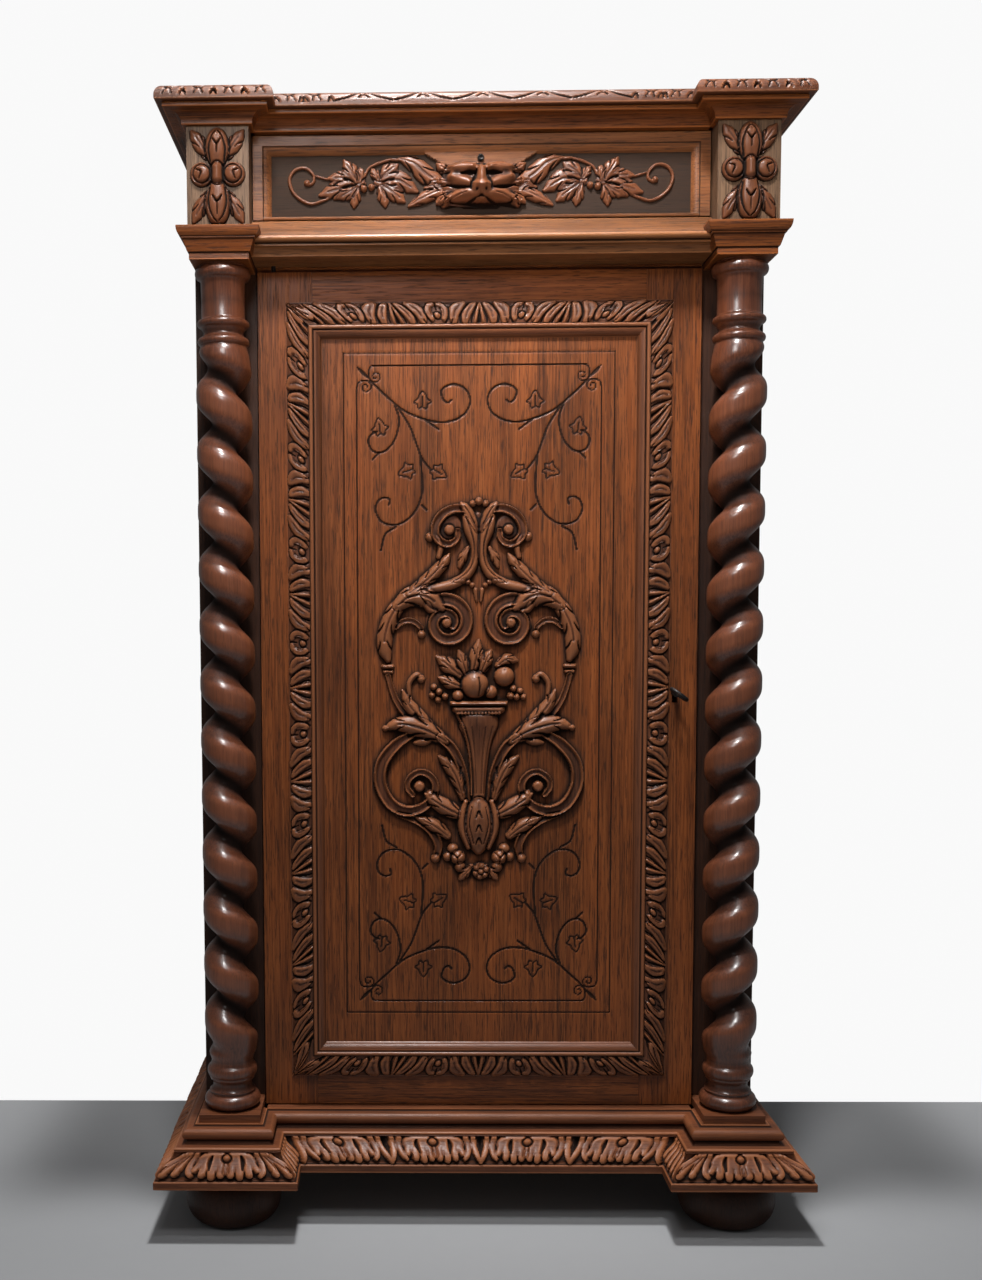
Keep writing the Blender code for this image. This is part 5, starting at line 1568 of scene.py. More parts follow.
CARTOUCHE_SIDE = (
    plate(3.4, (-38, 82, 24)),
    channel(9, (-76, -46, 4.5), (-96, -59, 6.6), (-111, -78, 7.4), (-115, -99, 7.4), (-110, -117, 7.2),
            (-99, -131, 7), (-83, -137, 6.6), (-66, -133, 5.6), (-54, -122, 4.8), (-50, -108, 4.4),
            (-56, -96, 4.2), (-68, -91, 4), (-80, -98, 3.8), (-83, -109, 3.6), (-77, -118, 3.2), lift=1),
    plate(9.5, (-69, -108, 6.4)),
    channel(8, *scroll((-37, 82), (29, 7.5), 118, -500, (8.4, 5), 60), lift=1.5), plate(10, (-37, 82, 5.6)),
    channel(6, (-96, 77, 2.8), (-87, 84, 3.6), (-76, 84, 3.6), (-67, 77, 3.2), (-66, 70, 3)),
    bead(6.5, (-66, 69, 4.8)),
    leaf(9, (-58, 127, 5), (-79, 116, 7.5), (-97, 97, 9), (-107, 74, 9.5), (-109, 54, 9), (-105, 40, 4)),
    leaf(10, (-93, 103, 7), (-78, 113, 11.5), (-60, 112, 12.5), (-42, 99, 4), lift=2),
    bead(7.5, (-60, 102, 4.5), (-56, 97, 4), (-50, 96, 2.5), lift=1),
    leaf(8.5, (-80, 117, 5), (-64, 128, 7.5), (-51, 140, 7.5), (-40, 152, 6), (-34, 161, 1.5), lift=1),
    bead(6, (-51, 183, 3), (-46, 177, 3.6), (-44, 168, 3.8), (-46, 158, 3.4)), bead(7, (-56, 181, 5.6)),
    plate(3.6, (-35, 191, 17)),
    channel(8.5, (-14, 212, 4.6), (-28, 213, 5.2), (-41, 207, 5.6), (-49, 196, 5.6), (-50, 184, 5.2),
            (-43, 175, 4.8), (-33, 173, 4.2), (-25, 179, 3.6), (-24, 188, 3), lift=1),
    plate(9, (-34, 189, 6)), leaf(6.5, (-12, 168, 3), (-18, 158, 5.5), (-22, 147, 2.5)),
    bead(9.5, (-15, 204, 4.5), (-10, 190, 8), (-4.5, 171, 6), (-5.5, 152, 5.4), (-14, 137, 5.8),
         (-28, 128, 6.2), (-45, 123, 6.2), (-62, 121, 4.5)),
    cut(2.6, (-15, 204, 0.9), (-10, 189, 1.6), (-5.5, 171, 1.2), (-7, 152, 1.2), (-15, 139, 1.2),
        (-30, 129, 1)),
    bead(5, (-31, 130, 1.8), (-17, 130, 1.8)), bead(6, (-17, 130, 3.2)), bead(6, (-12, 129, 3.2)),
    bead(6, (-7.5, 125.5, 3.4)), bead(5, (-4, 120, 3), (-2.4, 107, 1.6)),
    bead(6.5, (-111, 32, 2.6), (-100, 32, 2.6)), bead(6, (-109, 25.5, 2.4), (-101, 25.5, 2.4)),
    channel(6.5, (-105, 21, 3.4), (-101, 6, 3.6), (-95, -9, 3.8), (-84, -24, 4), (-66, -38, 4)),
    bead(6, (-80, -6, 3), (-80.5, 12, 3.4), (-73, 22, 3.4), (-66, 20, 3)), bead(6.5, (-66.5, 17, 4.8)),
    leaf(7.5, (-50, -44, 5), (-67, -29, 8.5), (-81, -12, 7), (-88.6, 4, 1.5), lift=1),
    bead(7, (-52, -49, 5), (-64, -55, 6), (-74, -57, 2.5)),
    leaf(10, (-38, -55, 5), (-56, -44, 10), (-76, -37, 11.5), (-94, -35, 7.5), (-108, -40, 2.5), lift=1.5),
    bead(7, (-108.5, -40, 3.8)),
    channel(9.5, (-44, -51, 5.5), (-32, -62, 5.8), (-23, -78, 5.4), (-16.5, -99, 5), (-14, -124, 4.4),
            lift=0.5),
    leaf(8, (-18, -122, 4), (-24, -102, 7.5), (-33, -85, 8), (-46, -73, 2), lift=0.5),
    bead(7.5, (-57, -117, 5)),
    leaf(9, (-20, -142, 6), (-36, -134, 10), (-51, -125, 8), (-62, -117, 2), lift=1),
    channel(8, (-94, -141, 3), (-70, -149, 5), (-55, -161, 5.4), (-47, -177, 5.2), (-49, -190, 4.2)),
    leaf(7.5, (-36, -166, 5), (-52, -154, 8), (-72, -145, 2), lift=1.5), bead(7, (-50.5, -193, 5.6)),
    bead(8, (-30, -182, 7)), bead(7.5, (-36, -191, 6)), bead(10.5, (-24, -192, 9)),
    bead(8.5, (-21.5, -203, 6.8)), cut(3, (-31, -186, 0.9), (-25, -191, 1.4), (-19, -186, 0.9)),
    cut(3, (-25, -191, 1.4), (-24, -200, 0.9)), leaf(7, (-8, -203, 4), (-16, -211, 6), (-22, -218, 2)),
    bead(8, (-20, 219, 2.4), (-14, 212, 6), (-7, 200, 5.2), (-2, 188, 2.4)),
    cut(2.2, (-17, 216, 0.7), (-12, 209, 1.2), (-5, 196, 0.8)),
)
CARTOUCHE_MIDDLE = (
    bead(3, (-1, 205, 5), (-0.5, 196, 4)), bead(7, (-7, 219, 4.2)), bead(7, (7.5, 219, 4.2)),
    bead(8, (0, 221.5, 4.8)), leaf(8, (-22, 22, 6), (-34, 32, 10), (-48, 43, 2.5)),
    leaf(8.5, (-14, 22, 5), (-18, 36, 8), (-23, 50, 2)), leaf(9.5, (-7, 24, 5), (-3, 42, 9), (0, 62, 2)),
    leaf(9, (3, 26, 5), (8, 38, 8), (14, 50, 2)), leaf(8, (-20, 8, 5), (-33, 13, 8), (-46, 19, 2)),
    leaf(8, (22, 33, 4), (33, 40, 7), (45, 38, 2)), bead(8, (-52, 8, 4.2)), bead(9, (-46, 2.5, 4.2)),
    bead(7.5, (-54, -1.5, 4)), bead(9, (-39, -3, 4.2)), bead(8, (-47, -7, 4)), bead(8.5, (40, 6, 4.2)),
    bead(7.5, (48, 3, 4)), bead(8.5, (44, -4, 4.2)), bead(7, (52, -4, 4)), bead(9, (37, -2.5, 4.4)),
    bead(13, (29.5, 20, 12)), cut(2.5, (29.5, 28, 1.6)), bead(10.5, (14, 2, 8)), bead(10, (-24, -2, 7)),
    bead(15.5, (-4.5, 10.5, 16.5)), cut(2.6, (-0.5, 19, 1), (0.8, 9, 1.5), (-0.5, -2, 1)),
    bead(7, (-8.5, -118, 1.5), (-9, -90, 1.5), (-12, -62, 1.5), (-17, -42, 1.5), (-26, -22, 1.5)),
)
BASKET = (
    bead(11, (0, -126, 8), (0, -96, 10), (0, -72, 12.5), (0, -52, 16.5), (0, -40, 20.5), (0, -33, 23.5)),
    *(cut(1.2, (k * 3.0, -116, 0.8), (k * 3.8, -88, 0.9), (k * 5.4, -62, 1), (k * 8.0, -38, 1))
      for k in (-2, -1, 1, 2)),
    bead(9.5, (-26, -18, 5), (0, -18, 5), (26, -18, 5)),
    *(bead(2.2, (k * 3.9, -22.5, 1.7), lift=8.6) for k in range(-6, 7)),
    bead(12, (-31, -11, 3), (0, -11, 3), (31, -11, 3)),
)
BULB = (
    bead(14, (0, -128, 8), (0, -141, 17), (0, -156, 20), (0, -170, 15), (0, -183, 6)),
    *paired(bead(9, (-15, -126, 3), (-19, -142, 4.5), (-19, -160, 4.5), (-12, -180, 3), lift=1)),
    *(cut(2.8, (-3.5, v - 4, 0.7), (0, v + 3, 1.8), (3.5, v - 4, 0.7)) for v in (-140, -156, -171)),
    *paired(cut(2, (-8, -132, 0.7), (-11, -152, 1), (-6, -174, 0.7))),
)
FLOWER = (
    bead(8.5, (2.5, -208, 10.5)),
    *(bead(2.6, (2.5 + 6.5 * math.cos(turn), -208 + 6.5 * math.sin(turn), 3.2), lift=6.5)
      for turn in (math.radians(angle + 20) for angle in range(0, 360, 60))),
    bead(3, (2.5, -208, 3), lift=8),
)
BAND_HALF = (
    plate(1.6, (4, 4, 3), (9.5, 7, 4.2), (11, 14, 4.4), (8.5, 21, 3.6)),
    plate(1.9, (20, 23, 4.4), (21, 15, 6.4), (26.5, 8.5, 6), (33.5, 3.5, 3.2)),
    plate(1.7, (34.5, 24, 3.8), (36, 17, 5.2), (40.5, 10, 4.8), (47, 4.5, 2.4)),
    cut(2.6, (1, 1.5, 1.2), (9, 2.6, 1.3), (14.8, 10, 1.6), (13.8, 19, 1.5), (9.5, 25, 1.2)),
    cut(2.6, (28, 26, 1.2), (29, 18, 1.5), (33.8, 11, 1.5), (41, 3, 1.2)),
    cut(2.4, (42.6, 26, 1.2), (43.6, 20, 1.4), (47, 13, 1.2), (51, 4, 1)),
    cut(1.1, (20.8, 19, 0.9), (23.4, 12.5, 1.3), (29, 7, 0.9)),
    cut(1, (36, 20, 0.8), (38.4, 13.5, 1.1), (43, 8, 0.8)), cut(2.2, (16, 27, 1.4), (18.6, 22.5, 1)),
    cut(1.2, (5.5, 8, 0.8), (8.2, 12, 1), (7.4, 18, 0.8)),
    bead(1.6, (47.6, 25, 1.6), (49.8, 15, 1.8), (52.6, 3, 1.2)), cut(2.4, (53, 25, 2.8), (53, 12, 1)),
)
BAND_BALL = (
    cut(2.6, (0, 17.8, 5.8)), bead(2, (0, 17.8, 3.5)), cut(1.6, (0, 10.5, 0.9), (0, 3, 1.3)),
)


@dataclass
class Door(Assembly):
    """The panelled door: frame, mouldings, incised panel and cartouche; carving in millimetres."""

    face: float = -0.1115
    back: float = -0.0995
    panel_half: float = 0.1902
    panel_foot: float = 0.1873
    panel_top: float = 1.0327
    middle: float = 0.613
    cartouche_rise: float = 0.0005
    moulding_half: float = 0.2205
    moulding_foot: float = 0.1595
    moulding_top: float = 1.0605
    moulding_gap: float = 0.0003
    cartouche_half: float = 124
    cartouche_low: float = -222
    cartouche_high: float = 230
    motif: float = 106.0
    mitre_leaf: float = 26
    lean: float = 10.0
    fine: float = 1.4
    step: float = 1.0

    def cartouche(self) -> Carving:
        """Carves the whole cartouche.

        Returns:
            Its height map.
        """
        carving = Carving(ticks(-self.cartouche_half, self.cartouche_half, self.step),
                          ticks(self.cartouche_low, self.cartouche_high, self.step))
        carving.draw(CARTOUCHE_SIDE, BOTH)
        carving.draw(BASKET + CARTOUCHE_MIDDLE + BULB + FLOWER)
        return carving

    def ground(self) -> Carving:
        """Lays out the panel's face.

        Returns:
            A level height map, with close points where lines are cut.
        """
        low, high = ((edge - self.middle) / MM for edge in (self.panel_foot, self.panel_top))
        half = self.panel_half / MM
        lines = [side * (place + off) for side in (-1, 1) for place in (140.0, 155.0)
                 for off in (-1, -0.4, 0.4, 1)]
        even = np.concatenate((ticks(-157, -7, self.fine), ticks(-4, 4, 4.0), ticks(7, 157, self.fine)))
        clear = even[np.abs(even[:, None] - np.array(lines)).min(axis=1) > 0.5]
        carved = np.sort(np.concatenate((clear, lines)))
        across = np.concatenate((ticks(-half, -158, 6), carved, ticks(158, half, 6)))
        up = np.concatenate((ticks(low, -382, 6), ticks(-380, -148, self.fine), ticks(-145, 158, 5.0),
                             ticks(161, 396, self.fine), ticks(398, high, 6)))
        return Carving(across, up)

    @staticmethod
    def borders() -> list[Mark]:
        """Draws two incised frames, the inner one open at its corners.

        Returns:
            One cut for each side.
        """
        marks = []
        frames = ((155, -377, 391, 0.7, 0, 0), (140, -363, 376.5, 1.1, 18.5, 25))
        for half, foot, head, deep, gap, drop in frames:
            sides = (((gap - half, head), (half - gap, head)), ((gap - half, foot), (half - gap, foot)),
                     ((-half, foot + drop), (-half, head - drop)), ((half, foot + drop), (half, head - drop)))
            marks += [cut(deep * 1.3, (*first, 1), (*last, 1)) for first, last in sides]
        return marks

    def panel(self, cartouche: Carving) -> tuple[Carving, np.ndarray]:
        """The panel's incised face, with a painted shadow round the cartouche.

        Args:
            cartouche: the carving that stands on the panel.

        Returns:
            The height map, and how exposed each point is.
        """
        carving = self.ground()
        carving.draw(self.borders())
        marks = list(KNOT) + [cut(1.6, *((u, v, 1.3) for u, v in line)) for line in VINE_LINES]
        for u, v, aim in VINE_FLOWERS:
            x, y = math.cos(math.radians(aim)), math.sin(math.radians(aim))
            marks.append(cut(1.1, *((u + a * x - b * y, v + a * y + b * x, 1.1) for a, b in IVY)))
        carving.draw(marks, BOTH)
        carving.draw(marks, BOTH, (0.0, 12.9), turn=-1)
        # Incised lines are painted darker: dark wax and painted shade in the cuts.
        wear = np.clip(carving.height * 1.1, -1, 0)
        # Painted shadow round the cartouche, taken from its softened height.
        shade = soften(np.maximum(cartouche.height, 0), 5)
        across, up = carving.across, carving.up
        columns = np.clip(np.searchsorted(cartouche.across, across), 0, len(cartouche.across) - 1)
        rows = np.clip(np.searchsorted(cartouche.up, up - 0.5), 0, len(cartouche.up) - 1)
        level = (up > self.cartouche_low) & (up < self.cartouche_high)
        inside = (abs(across) < self.cartouche_half)[:, None] & level[None]
        wear -= np.where(inside, np.clip(shade[columns][:, rows] * 0.20, 0, 0.8), 0)
        return carving, np.clip(wear, -1, 1)

    def moulding_section(self) -> Section:
        """Outline of the moulding.

        Returns:
            Rise from the door against distance in from its outer edge.
        """
        outline = [(0.0, 0.0)]
        low = len(outline)
        rise = ((0, 0.0022), (0.0052, 0.0050), (0.013, 0.0068), (0.0208, 0.0072), (0.026, 0.0062))
        outline += [(float(np.interp(x, *zip(*rise))), float(x)) for x in np.linspace(0, 0.026, 27)]
        high = len(outline)
        outline += [(b, a) for a, b in arc((0.0285, 0.0062), (0.0025, 0.0030), 175, 5, 9)]
        outline += [(0.0062, 0.0314)]
        outline += [(b, a) for a, b in arc((0.0318, 0.0008), (0.0082, 0.0064), 85, 4, 8)]
        outline += [(0.0008, 0.0404), (0.0, 0.0410)]
        return Section(outline, (low, high))

    def carve_band(self, lean: float, carving: Carving) -> None:
        """Leaf cups with a ball, curled leaves and darts, and a long leaf at each mitre.

        Args:
            lean: how far the pattern lies from the middle of the length, in millimetres.
            carving: the band to carve.
        """
        room = carving.width - self.mitre_leaf
        count = max(1, round(room / self.motif))
        pitch = room / count
        for k in range(count):
            shift = ((k - (count - 1) / 2) * pitch + lean, 0.0)
            carving.draw(BAND_HALF, BOTH, shift, stretch=pitch / self.motif)
            carving.draw(BAND_BALL, shift=shift)
        for flip in BOTH:
            first, last = count * pitch / 2 + flip * lean, carving.width / 2
            ends = np.array((first + 2, (first + last) / 2, last - 2)) * flip
            blade = list(zip(ends, (16, 12.5, 3.5), (5.0, 8.0, 1.5)))
            edges = [cut(2.2, *((u, v + off, 1.2) for (u, v, _), off in zip(blade, offsets)))
                     for offsets in ((8.0, 7.0, 2.0), (-8.0, -7.0, -2.0))]
            rib = cut(1.8, *((u, v, 1.0) for u, v, _ in blade))
            carving.draw((plate(1.8, *blade), *edges, rib))

    def build(self) -> None:
        """Dresses the frame and fits the panel, mouldings and cartouche."""
        self.shop.dress(("door_left_stile", "door_right_stile"), WAXED, Grain.UPRIGHT, 1.0 * MM)
        self.shop.dress(("door_top_rail", "door_bottom_rail"), WAXED, Grain.ACROSS, 0.3 * MM)
        carving = self.cartouche()
        panel, wear = self.panel(carving)
        origin = Vector((0, self.face, self.middle))
        mesh = slab("door_field", panel, origin, self.back, wear)
        self.shop.fit("incised_panel", mesh, "door", WAXED, Grain.UPRIGHT, ["door_panel"])
        place = origin + Vector((0, 0, self.cartouche_rise))
        mesh = relief("cartouche", carving, self.step, place)
        self.shop.fit("carved_cartouche", mesh, "door", OILED, Grain.UPRIGHT, ["door_cartouche"])
        width, height = self.moulding_half, self.moulding_top - self.moulding_foot
        corner = Vector((-width, self.face - self.moulding_gap, self.moulding_foot))
        far = Vector((width, self.face - self.moulding_gap, self.moulding_top))
        sides = (("left", corner, Z_AXIS, X_AXIS, height, self.lean, Grain.UPRIGHT),
                 ("bottom", corner, X_AXIS, Z_AXIS, 2 * width, 0.0, Grain.ACROSS),
                 ("right", far, -Z_AXIS, -X_AXIS, height, -self.lean, Grain.UPRIGHT),
                 ("top", far, -X_AXIS, -Z_AXIS, 2 * width, 0.0, Grain.ACROSS))
        for name, start, along, inward, length, lean, grain in sides:
            run = Run(start, along, -Y_AXIS, 0.0, length, 1, -1, inward, True, partial(self.carve_band, lean))
            mesh = moulded("door_moulding", self.moulding_section(), [run], self.step * MM, -0.4)
            self.shop.fit(f"carved_moulding_{name}", mesh, "door", OILED, grain, [f"door_moulding_{name}"])


@dataclass
class Lock(Assembly):
    """The key, and the ironwork behind the door."""

    centre: Vector = field(default_factory=lambda: Vector((0.227, -0.1115, 0.613)))
    stem: float = 0.016
    radius: float = 0.003
    bow: float = 0.0105
    wire: float = 0.0022
    tip: float = -0.0765
    tilt: float = math.radians(37)

    def build(self) -> None:
        """Forges the key and dresses the lock."""
        start = self.centre.y - self.stem
        line = [(0, y, 0) for y in (start - 0.0015, start, start + 0.0030, start + 0.0034, start + 0.0060,
                                    start + 0.0064, self.tip - 0.0005, self.tip)]
        girth = (0.6, 1.0, 1.0, 1.35, 1.35, 1.0, 1.0, 0.8)
        shaft = rod("key_shaft", line, [self.radius * g for g in girth], 20)
        middle = start - self.bow + self.wire / 2
        ring = [(self.bow * math.cos(a), middle + self.bow * 0.98 * math.sin(a), 0.0)
                for a in around_axis(48)]
        bow = rod("key_bow", ring, [self.wire] * len(ring), 16, True)
        bit = block("key_bit", (0.0, self.tip - 0.0100, -0.0025), (0.0100, self.tip - 0.0010, 0.0025))
        mesh = joined("key", [shaft, bow, bit])
        place = Matrix.Translation((self.centre.x, 0, self.centre.z))
        mesh.transform(place @ Matrix.Rotation(self.tilt, 4, "Y"))
        mesh.polygons.foreach_set("use_smooth", [True] * len(mesh.polygons))
        self.shop.fit("forged_key", mesh, "key", IRON, Grain.UPRIGHT, ["door_key"])
        ironwork = ("lock_case", "lock_bolt", "lower_pivot_pin", "upper_pivot_pin")
        self.shop.dress(ironwork, IRON, Grain.UPRIGHT, 0.4 * MM)


VINE = (
    bead(3.2, (-170, -14.5, 1.6), (-190, -19.5, 1.9), (-207, -9.5, 2), (-213, 5.5, 2), (-207, 16.7, 2),
         (-195, 19, 1.9), (-186.5, 11.7, 1.8), (-186, 4.2, 1.7), (-191.5, 0.5, 1.7)),
    bead(4.2, (-193.5, 3, 3.6)), bead(2.6, (-183.8, 10.5, 1.2), (-170, 6.7, 1.4)),
    bead(3.4, (-130, 4, 1.6), (-124, 18, 1.8), (-105, 26, 2), (-88, 26.5, 2.2), (-76, 20.4, 2)),
    plate(2.8, (-145, 2, 12), (-157, -2, 9)), plate(2.8, (-104, 2, 12), (-92, -2, 9.5)),
    leaf(5, (-134, 1, 7.2), (-156, -4, 12), (-179, -10.5, 2)),
    leaf(4.5, (-136, 3, 6), (-153, 7, 9.6), (-169, 8, 2)),
    leaf(5, (-135, 3, 6), (-144, 14, 9.6), (-152, 27, 1.5)),
    leaf(4.5, (-135, 4, 2), (-133, 11, 6), (-134, 18, 1.5)),
    leaf(5, (-137, -2, 3), (-140, -12, 7.8), (-141, -23.5, 2)),
    leaf(4.5, (-138, -2, 2), (-148, -9, 7.2), (-158, -14, 2)), bead(5.6, (-130, -4, 4.2)),
    bead(5.4, (-121.5, -2.5, 4)), leaf(5, (-113, 3, 7.2), (-92, 4, 12.6), (-70, -8, 2)),
    leaf(4.5, (-113, 5, 6), (-103, 14, 9.6), (-92, 22, 1.5)),
    leaf(4.5, (-114, 6, 2), (-117, 11, 6), (-121, 17, 1.5)),
    leaf(5, (-112, 0, 3), (-108, -12, 7.8), (-106, -23, 2)),
    leaf(4.6, (-110, 0, 3), (-96, -10, 8.4), (-85, -18.5, 2)),
    leaf(6, (-90, 28, 2), (-74, 22, 9), (-60, 10, 10.8), (-44, 0, 7.2)),
    leaf(5.5, (-80, -23.5, 1.5), (-66, -16, 6.6), (-50, -9, 7.2), (-40, -8, 4.8)),
    leaf(5, (-62, -4, 1.5), (-52, -2, 4.8), (-42, -4, 3)),
)
MASK_HALF = (
    leaf(9, (-26, 10, 7), (-39, 15, 7.5), (-49, 21, 2)), leaf(9, (-28, 0, 6), (-42, 2, 6.5), (-49.5, 5, 2)),
    leaf(9, (-26, -8, 7), (-39, -14, 7.5), (-49.5, -21, 2)),
)
MASK_DOME = (
    bead(12, (-22, 0, 23), (22, 0, 23)), swell(6, (0, -2, 34)),
    swell(9.5, (0, 13, 7), (0, 6, 7.5), (0, -2, 10.5), (0, -7, 12.5)), swell(3.5, (0, -10, 8)),
    swell(4, (0, -21, 8)),
)
MASK_FEATURES = (
    swell(10.5, (-11, 14.5, 9.5), (-20, 16, 12), (-30, 14.5, 9)),
    swell(6, (-14, -3.5, 7.5), (-23, 0.5, 9.5), (-33, 5, 6.5)), swell(4, (-7, -7, 7)),
    swell(6.5, (-5, -17, 7), (-14, -14.5, 9), (-27, -16, 9), (-41, -23, 5)),
    cut(6.5, (-6.5, 7.6, 2), (-12, 8.6, 3.4), (-22, 7.4, 1.2)),
    cut(4.2, (-5.6, 11, 1), (-6.6, 3, 1.9), (-11, -4, 1.8), (-11.4, -9.5, 1.1)),
    cut(4.6, (-14, -8, 1.4), (-24, -7, 2.4), (-38, -3, 1.2)), cut(3.4, (-5, -11.4, 1.8)),
    cut(4, (0, -16.5, 1.4), (-8, -19.5, 1.7), (-17, -23, 1)),
    cut(1.8, (-16, -13, 0.9), (-26, -15.5, 1.2), (-38, -21, 0.9)),
    cut(2, (-22, 20, 0.9), (-31, 18.5, 1.2), (-38, 21, 0.9)), cut(2.2, (-35, 9, 0.9), (-46, 12, 1.3)),
    cut(2.2, (-38, -4, 0.9), (-48, -4, 1.3)), cut(2.2, (-37, -11, 0.9), (-47, -14, 1.3)),
    cut(2.6, (-2.2, 14, 1), (-3.4, 22, 1.2)),
)


@dataclass
class Drawer(Assembly):
    """The drawer: its sunk front, carved vines and mask, and the box behind; carving in millimetres."""

    face: float = -0.1415
    back: float = -0.1195
    half: float = 0.2535
    low: float = 1.1445
    high: float = 1.2355
    middle: float = 1.18275
    sunk: float = 6.0
    step: float = 1.5
    vine_step: float = 0.8

    def front(self) -> tuple[Carving, np.ndarray]:
        """The sunk front with its moulded frame, and the dark ground.

        Returns:
            The height map, and how exposed each point is.
        """
        half = self.half / MM
        low, high = (self.low - self.middle) / MM, (self.high - self.middle) / MM
        frame = np.array((0, 1, 6, 10.6, 11.2, 11.8, 12.4, 13.2, 14.2, 15.4, 16.8, 18.2, 19.4, 20.2, 20.6,
                          22))
        sill = np.array((0, 0.8, 2.0, 2.8, 3.6, 4.4, 5.0))
        inner = ticks(-half + 24, half - 24, self.step)
        across = np.concatenate((-half + frame, inner, half - frame[::-1]))
        up = np.concatenate((low + sill, ticks(low + 6.5, high - 24, self.step), high - frame[::-1]))
        carving = Carving(across, up)
        beside = np.minimum(carving.u + half, half - carving.u)
        inset = np.minimum(beside, high - carving.v)
        steps = ((0, 0), (10.8, 0), (11.3, -1.3), (11.9, -1.3), (12.4, -0.5), (15.5, -1.1), (18.5, -3.0),
                 (20.0, -5.2), (20.4, -self.sunk), (400, -self.sunk))
        lip = ((0, -0.6), (0.8, 0), (2.8, 0), (3.6, -1.5), (4.6, -self.sunk), (400, -self.sunk))
        level = np.maximum(np.interp(inset, *zip(*steps)), np.interp(carving.v - low, *zip(*lip)))
        shield = (abs(carving.u) < 62 - np.clip(high - 20 - carving.v, 0, 20) * 1.6) & (carving.v > -2)
        level = np.where(shield, np.maximum(level, -2.6), level)
        rng = np.random.default_rng(5)
        ground = level < -self.sunk + 0.2
        carving.height = level + np.where(ground, rng.normal(0, 0.035, level.shape), 0)
        # The sunk ground takes the darkest hollow colour and the groove in the frame a darker tone: painted
        # shade in the recesses along with dark wax. The frame is a little lighter.
        wear = np.where(ground, -1.0, 0.10) - np.where((inset > 10.9) & (inset < 12.1), 0.6, 0.0)
        return carving, wear

    def build(self) -> None:
        """Fits the front and its carving, and dresses the box."""
        origin = Vector((0, self.face, self.middle))
        front, wear = self.front()
        mesh = slab("drawer_face", front, origin, self.back, wear)
        self.shop.fit("sunk_drawer_front", mesh, "drawer", SUNK, Grain.ACROSS, ["drawer_front"])
        ground = origin + Vector((0, self.sunk * MM, 0))
        for name, side in SIDES:
            near, far = sorted((side * 36, side * 218))
            carving = Carving(ticks(near, far, self.vine_step), ticks(-27, 31, self.vine_step))
            carving.draw(VINE, (-side,))
            mesh = relief("vine", carving, self.vine_step, ground)
            self.shop.fit(f"carved_vine_{name}", mesh, "drawer", SHADED, Grain.ACROSS, [f"{name}_vine"])
        carving = Carving(ticks(-50, 50, self.vine_step), ticks(-27, 27, self.vine_step))
        carving.draw(MASK_HALF, BOTH)
        carving.draw(MASK_DOME)
        carving.draw(MASK_FEATURES, BOTH)
        mesh = relief("mask", carving, self.vine_step, ground)
        self.shop.fit("carved_mask", mesh, "drawer", SHADED, Grain.ACROSS, ["drawer_mask"])
        rim = [(0.0038, 0.0), (0.0036, 0.0028), (0.0026, 0.0034), (0.0016, 0.0030), (0.0012, 0.0016),
               (0.0, 0.0016)]
        mesh = turned("keyhole_rim", rim, Vector((0, 0, 0)), 32)
        place = origin + Vector((0, 0.0026, 0.0275))
        mesh.transform(Matrix.Translation(place) @ Matrix.Rotation(math.radians(90), 4, "X"))
        self.shop.fit("drawer_keyhole_rim", mesh, "drawer", IRON, Grain.UPRIGHT, [])
        self.shop.dress(("drawer_left_side", "drawer_right_side"), RAW, Grain.DEEP)
        self.shop.dress(("drawer_back", "drawer_bottom"), RAW, Grain.ACROSS)


@dataclass
class Carcass(Assembly):
    """Posts, panels, rails and boards of the case."""

    front_posts: Sequence[str] = ("left_front_post", "right_front_post")
    upright: Sequence[str] = ("left_rear_post", "right_rear_post", "left_side_panel", "right_side_panel")
    across: Sequence[str] = ("door_sill", "door_head_rail")
    inside: Sequence[str] = ("cupboard_floor", "lower_shelf", "upper_shelf", "drawer_divider")

    def build(self) -> None:
        """Dresses the case."""
        # The front posts take the painted-shadow oak: shade beside the columns is painted into their colour.
        self.shop.dress(self.front_posts, PAINTED_SHADOW, Grain.UPRIGHT)
        self.shop.dress(self.upright, WAXED, Grain.UPRIGHT)
        self.shop.dress(self.across, WAXED, Grain.ACROSS)
        self.shop.dress(self.inside, RAW, Grain.ACROSS)
        self.shop.dress(("back_panel",), RAW, Grain.UPRIGHT)


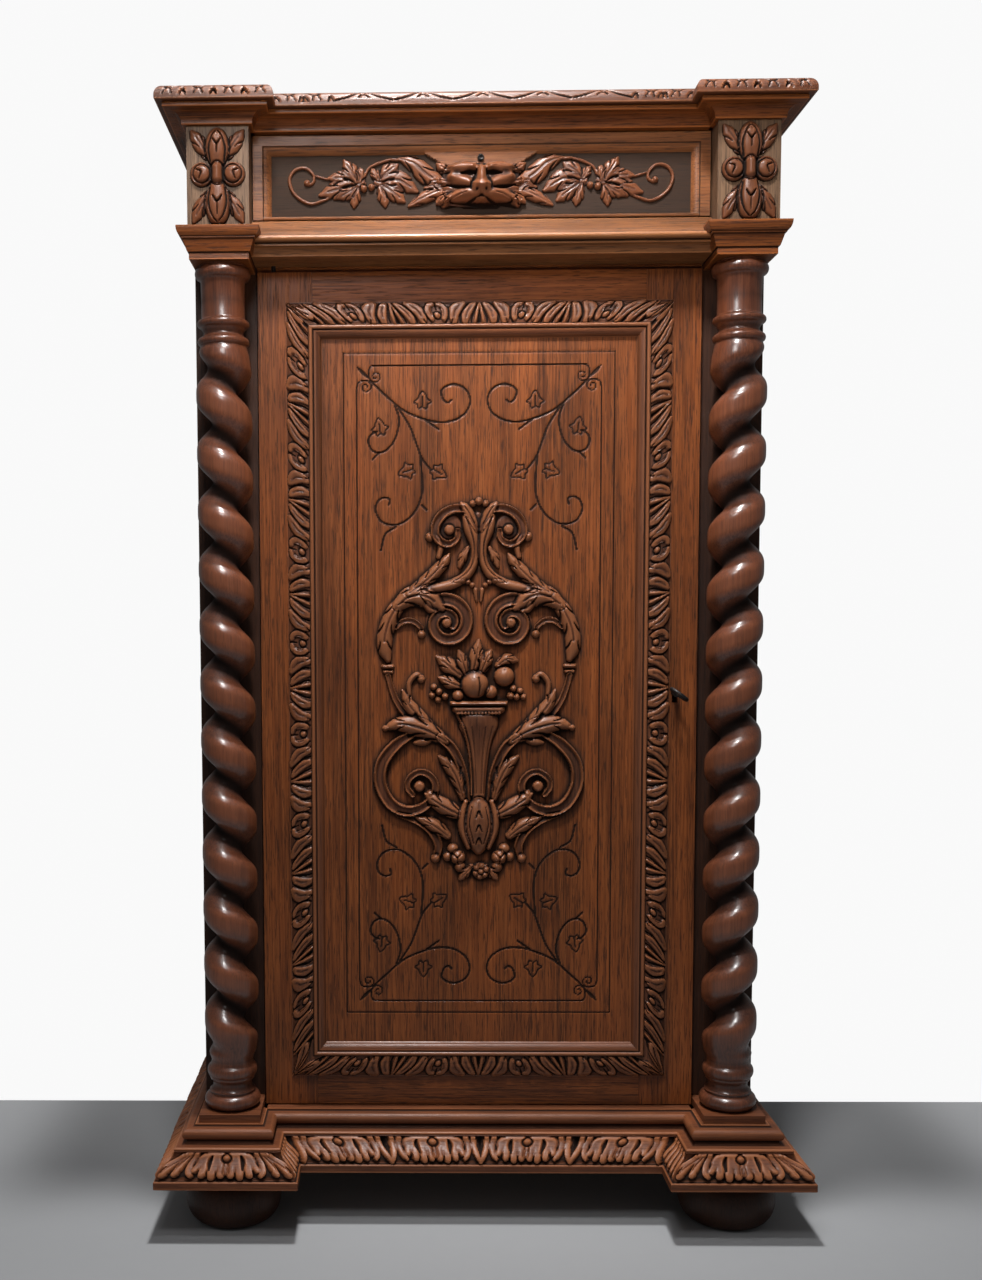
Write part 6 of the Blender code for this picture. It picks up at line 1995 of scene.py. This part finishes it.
@dataclass
class Studio:
    """Floor, light and camera."""

    eye: Vector = field(default_factory=lambda: Vector((-0.09817, -1.66428, 0.69432)))
    yaw: float = 0.0186352
    pitch: float = -0.0732062
    roll: float = -0.0046812
    lens: float = 37.538
    shift: tuple[float, float] = (0.09502, 0.06431)
    floor_size: float = 6.0
    floor_end: float = 0.24
    glow: float = 0.14
    backdrop: float = 0.95

    def camera(self) -> None:
        """Sets the camera where the photograph was taken."""
        data = bpy.data.cameras.new("camera")
        data.sensor_width = 36.0
        data.lens = self.lens
        data.shift_x, data.shift_y = self.shift
        data.clip_end = 50.0
        camera = bpy.data.objects.new("camera", data)
        level = Vector((math.cos(self.yaw), math.sin(self.yaw), 0))
        ahead = Vector((-math.sin(self.yaw), math.cos(self.yaw), 0))
        forward = math.cos(self.pitch) * ahead + math.sin(self.pitch) * Z_AXIS
        above = -math.sin(self.pitch) * ahead + math.cos(self.pitch) * Z_AXIS
        right = math.cos(self.roll) * level + math.sin(self.roll) * above
        above = -math.sin(self.roll) * level + math.cos(self.roll) * above
        turn = Matrix((right, above, -forward)).transposed().to_4x4()
        camera.matrix_world = Matrix.Translation(self.eye) @ turn
        bpy.context.scene.collection.objects.link(camera)
        bpy.context.scene.camera = camera

    def lamp(self, name: str, place: Point, aim: Point, size: float, power: float, spread: float = 180.0,
             glints: bool = True) -> None:
        """Hangs one soft lamp.

        Args:
            name: its name.
            place: where it hangs.
            aim: what it shines at.
            size: side of its square face.
            power: in watts.
            spread: width of its beam in degrees.
            glints: whether it shows in glossy faces.
        """
        data = bpy.data.lights.new(name, "AREA")
        data.size = size
        data.energy = power
        data.spread = math.radians(spread)
        lamp = bpy.data.objects.new(name, data)
        lamp.location = place
        lamp.rotation_euler = (Vector(aim) - Vector(place)).to_track_quat("-Z", "Y").to_euler()
        lamp.visible_glossy = glints
        bpy.context.scene.collection.objects.link(lamp)

    def floor(self) -> None:
        """Lays a pale floor."""
        size, end = self.floor_size, self.floor_end
        points = np.array(((-size, -size, 0), (size, -size, 0), (size, end, 0), (-size, end, 0)), dtype=float)
        mesh = skin("floor", points, [(0, 1, 2, 3)])
        mesh.materials.append(PALE.material())
        floor = bpy.data.objects.new("floor", mesh)
        bpy.context.scene.collection.objects.link(floor)

    def sky(self) -> None:
        """Even pale surround: softer as a light than it looks to the camera."""
        world = bpy.data.worlds.new("surround")
        bpy.context.scene.world = world
        shader = Shader(world)
        ray = shader.node("ShaderNodeLightPath", {}, {}, "Is Camera Ray")
        white = (1.0, 1.0, 1.0)
        light, seen = (shader.node("ShaderNodeBackground", {}, {"Color": white, "Strength": strength})
                       for strength in (self.glow, self.backdrop))
        mixed = shader.node("ShaderNodeMixShader", {}, {0: ray, 1: light, 2: seen})
        shader.close("ShaderNodeOutputWorld", mixed)

    def build(self) -> None:
        """Sets up everything round the cabinet."""
        self.camera()
        self.floor()
        self.sky()
        self.lamp("key", (-0.28, -1.15, 1.60), (0, -0.1, 0.95), 0.30, 5.0)
        self.lamp("upper", (-0.10, -0.95, 2.20), (0, -0.15, 1.16), 0.24, 3.5, 46.0)
        self.lamp("fill", (0.05, -1.45, 0.42), (0, -0.15, 1.20), 0.25, 0.6, 44.0, False)
        self.lamp("overhead", (-0.05, -0.36, 2.9), (0, -0.3, 0.0), 0.20, 62.0)
        bpy.context.scene.view_settings.view_transform = "Standard"


def main() -> None:
    """Loads the frame, builds each sub-assembly in order, logging face counts, and warns of nodes left
    undressed.
    """
    logging.basicConfig(level=logging.INFO, format="%(message)s")
    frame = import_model()
    shop = Workshop(frame)
    Studio().build()
    for assembly in (Feet, Plinth, Columns, Carcass, Waist, Frieze, Cornice, TopBoard, Door, Lock, Drawer):
        assembly(shop).build()
    missed = set(frame["nodes"]) - shop.dressed
    if missed:
        LOG.warning("not dressed: %s", ", ".join(sorted(missed)))


if __name__ == "__main__":
    main()
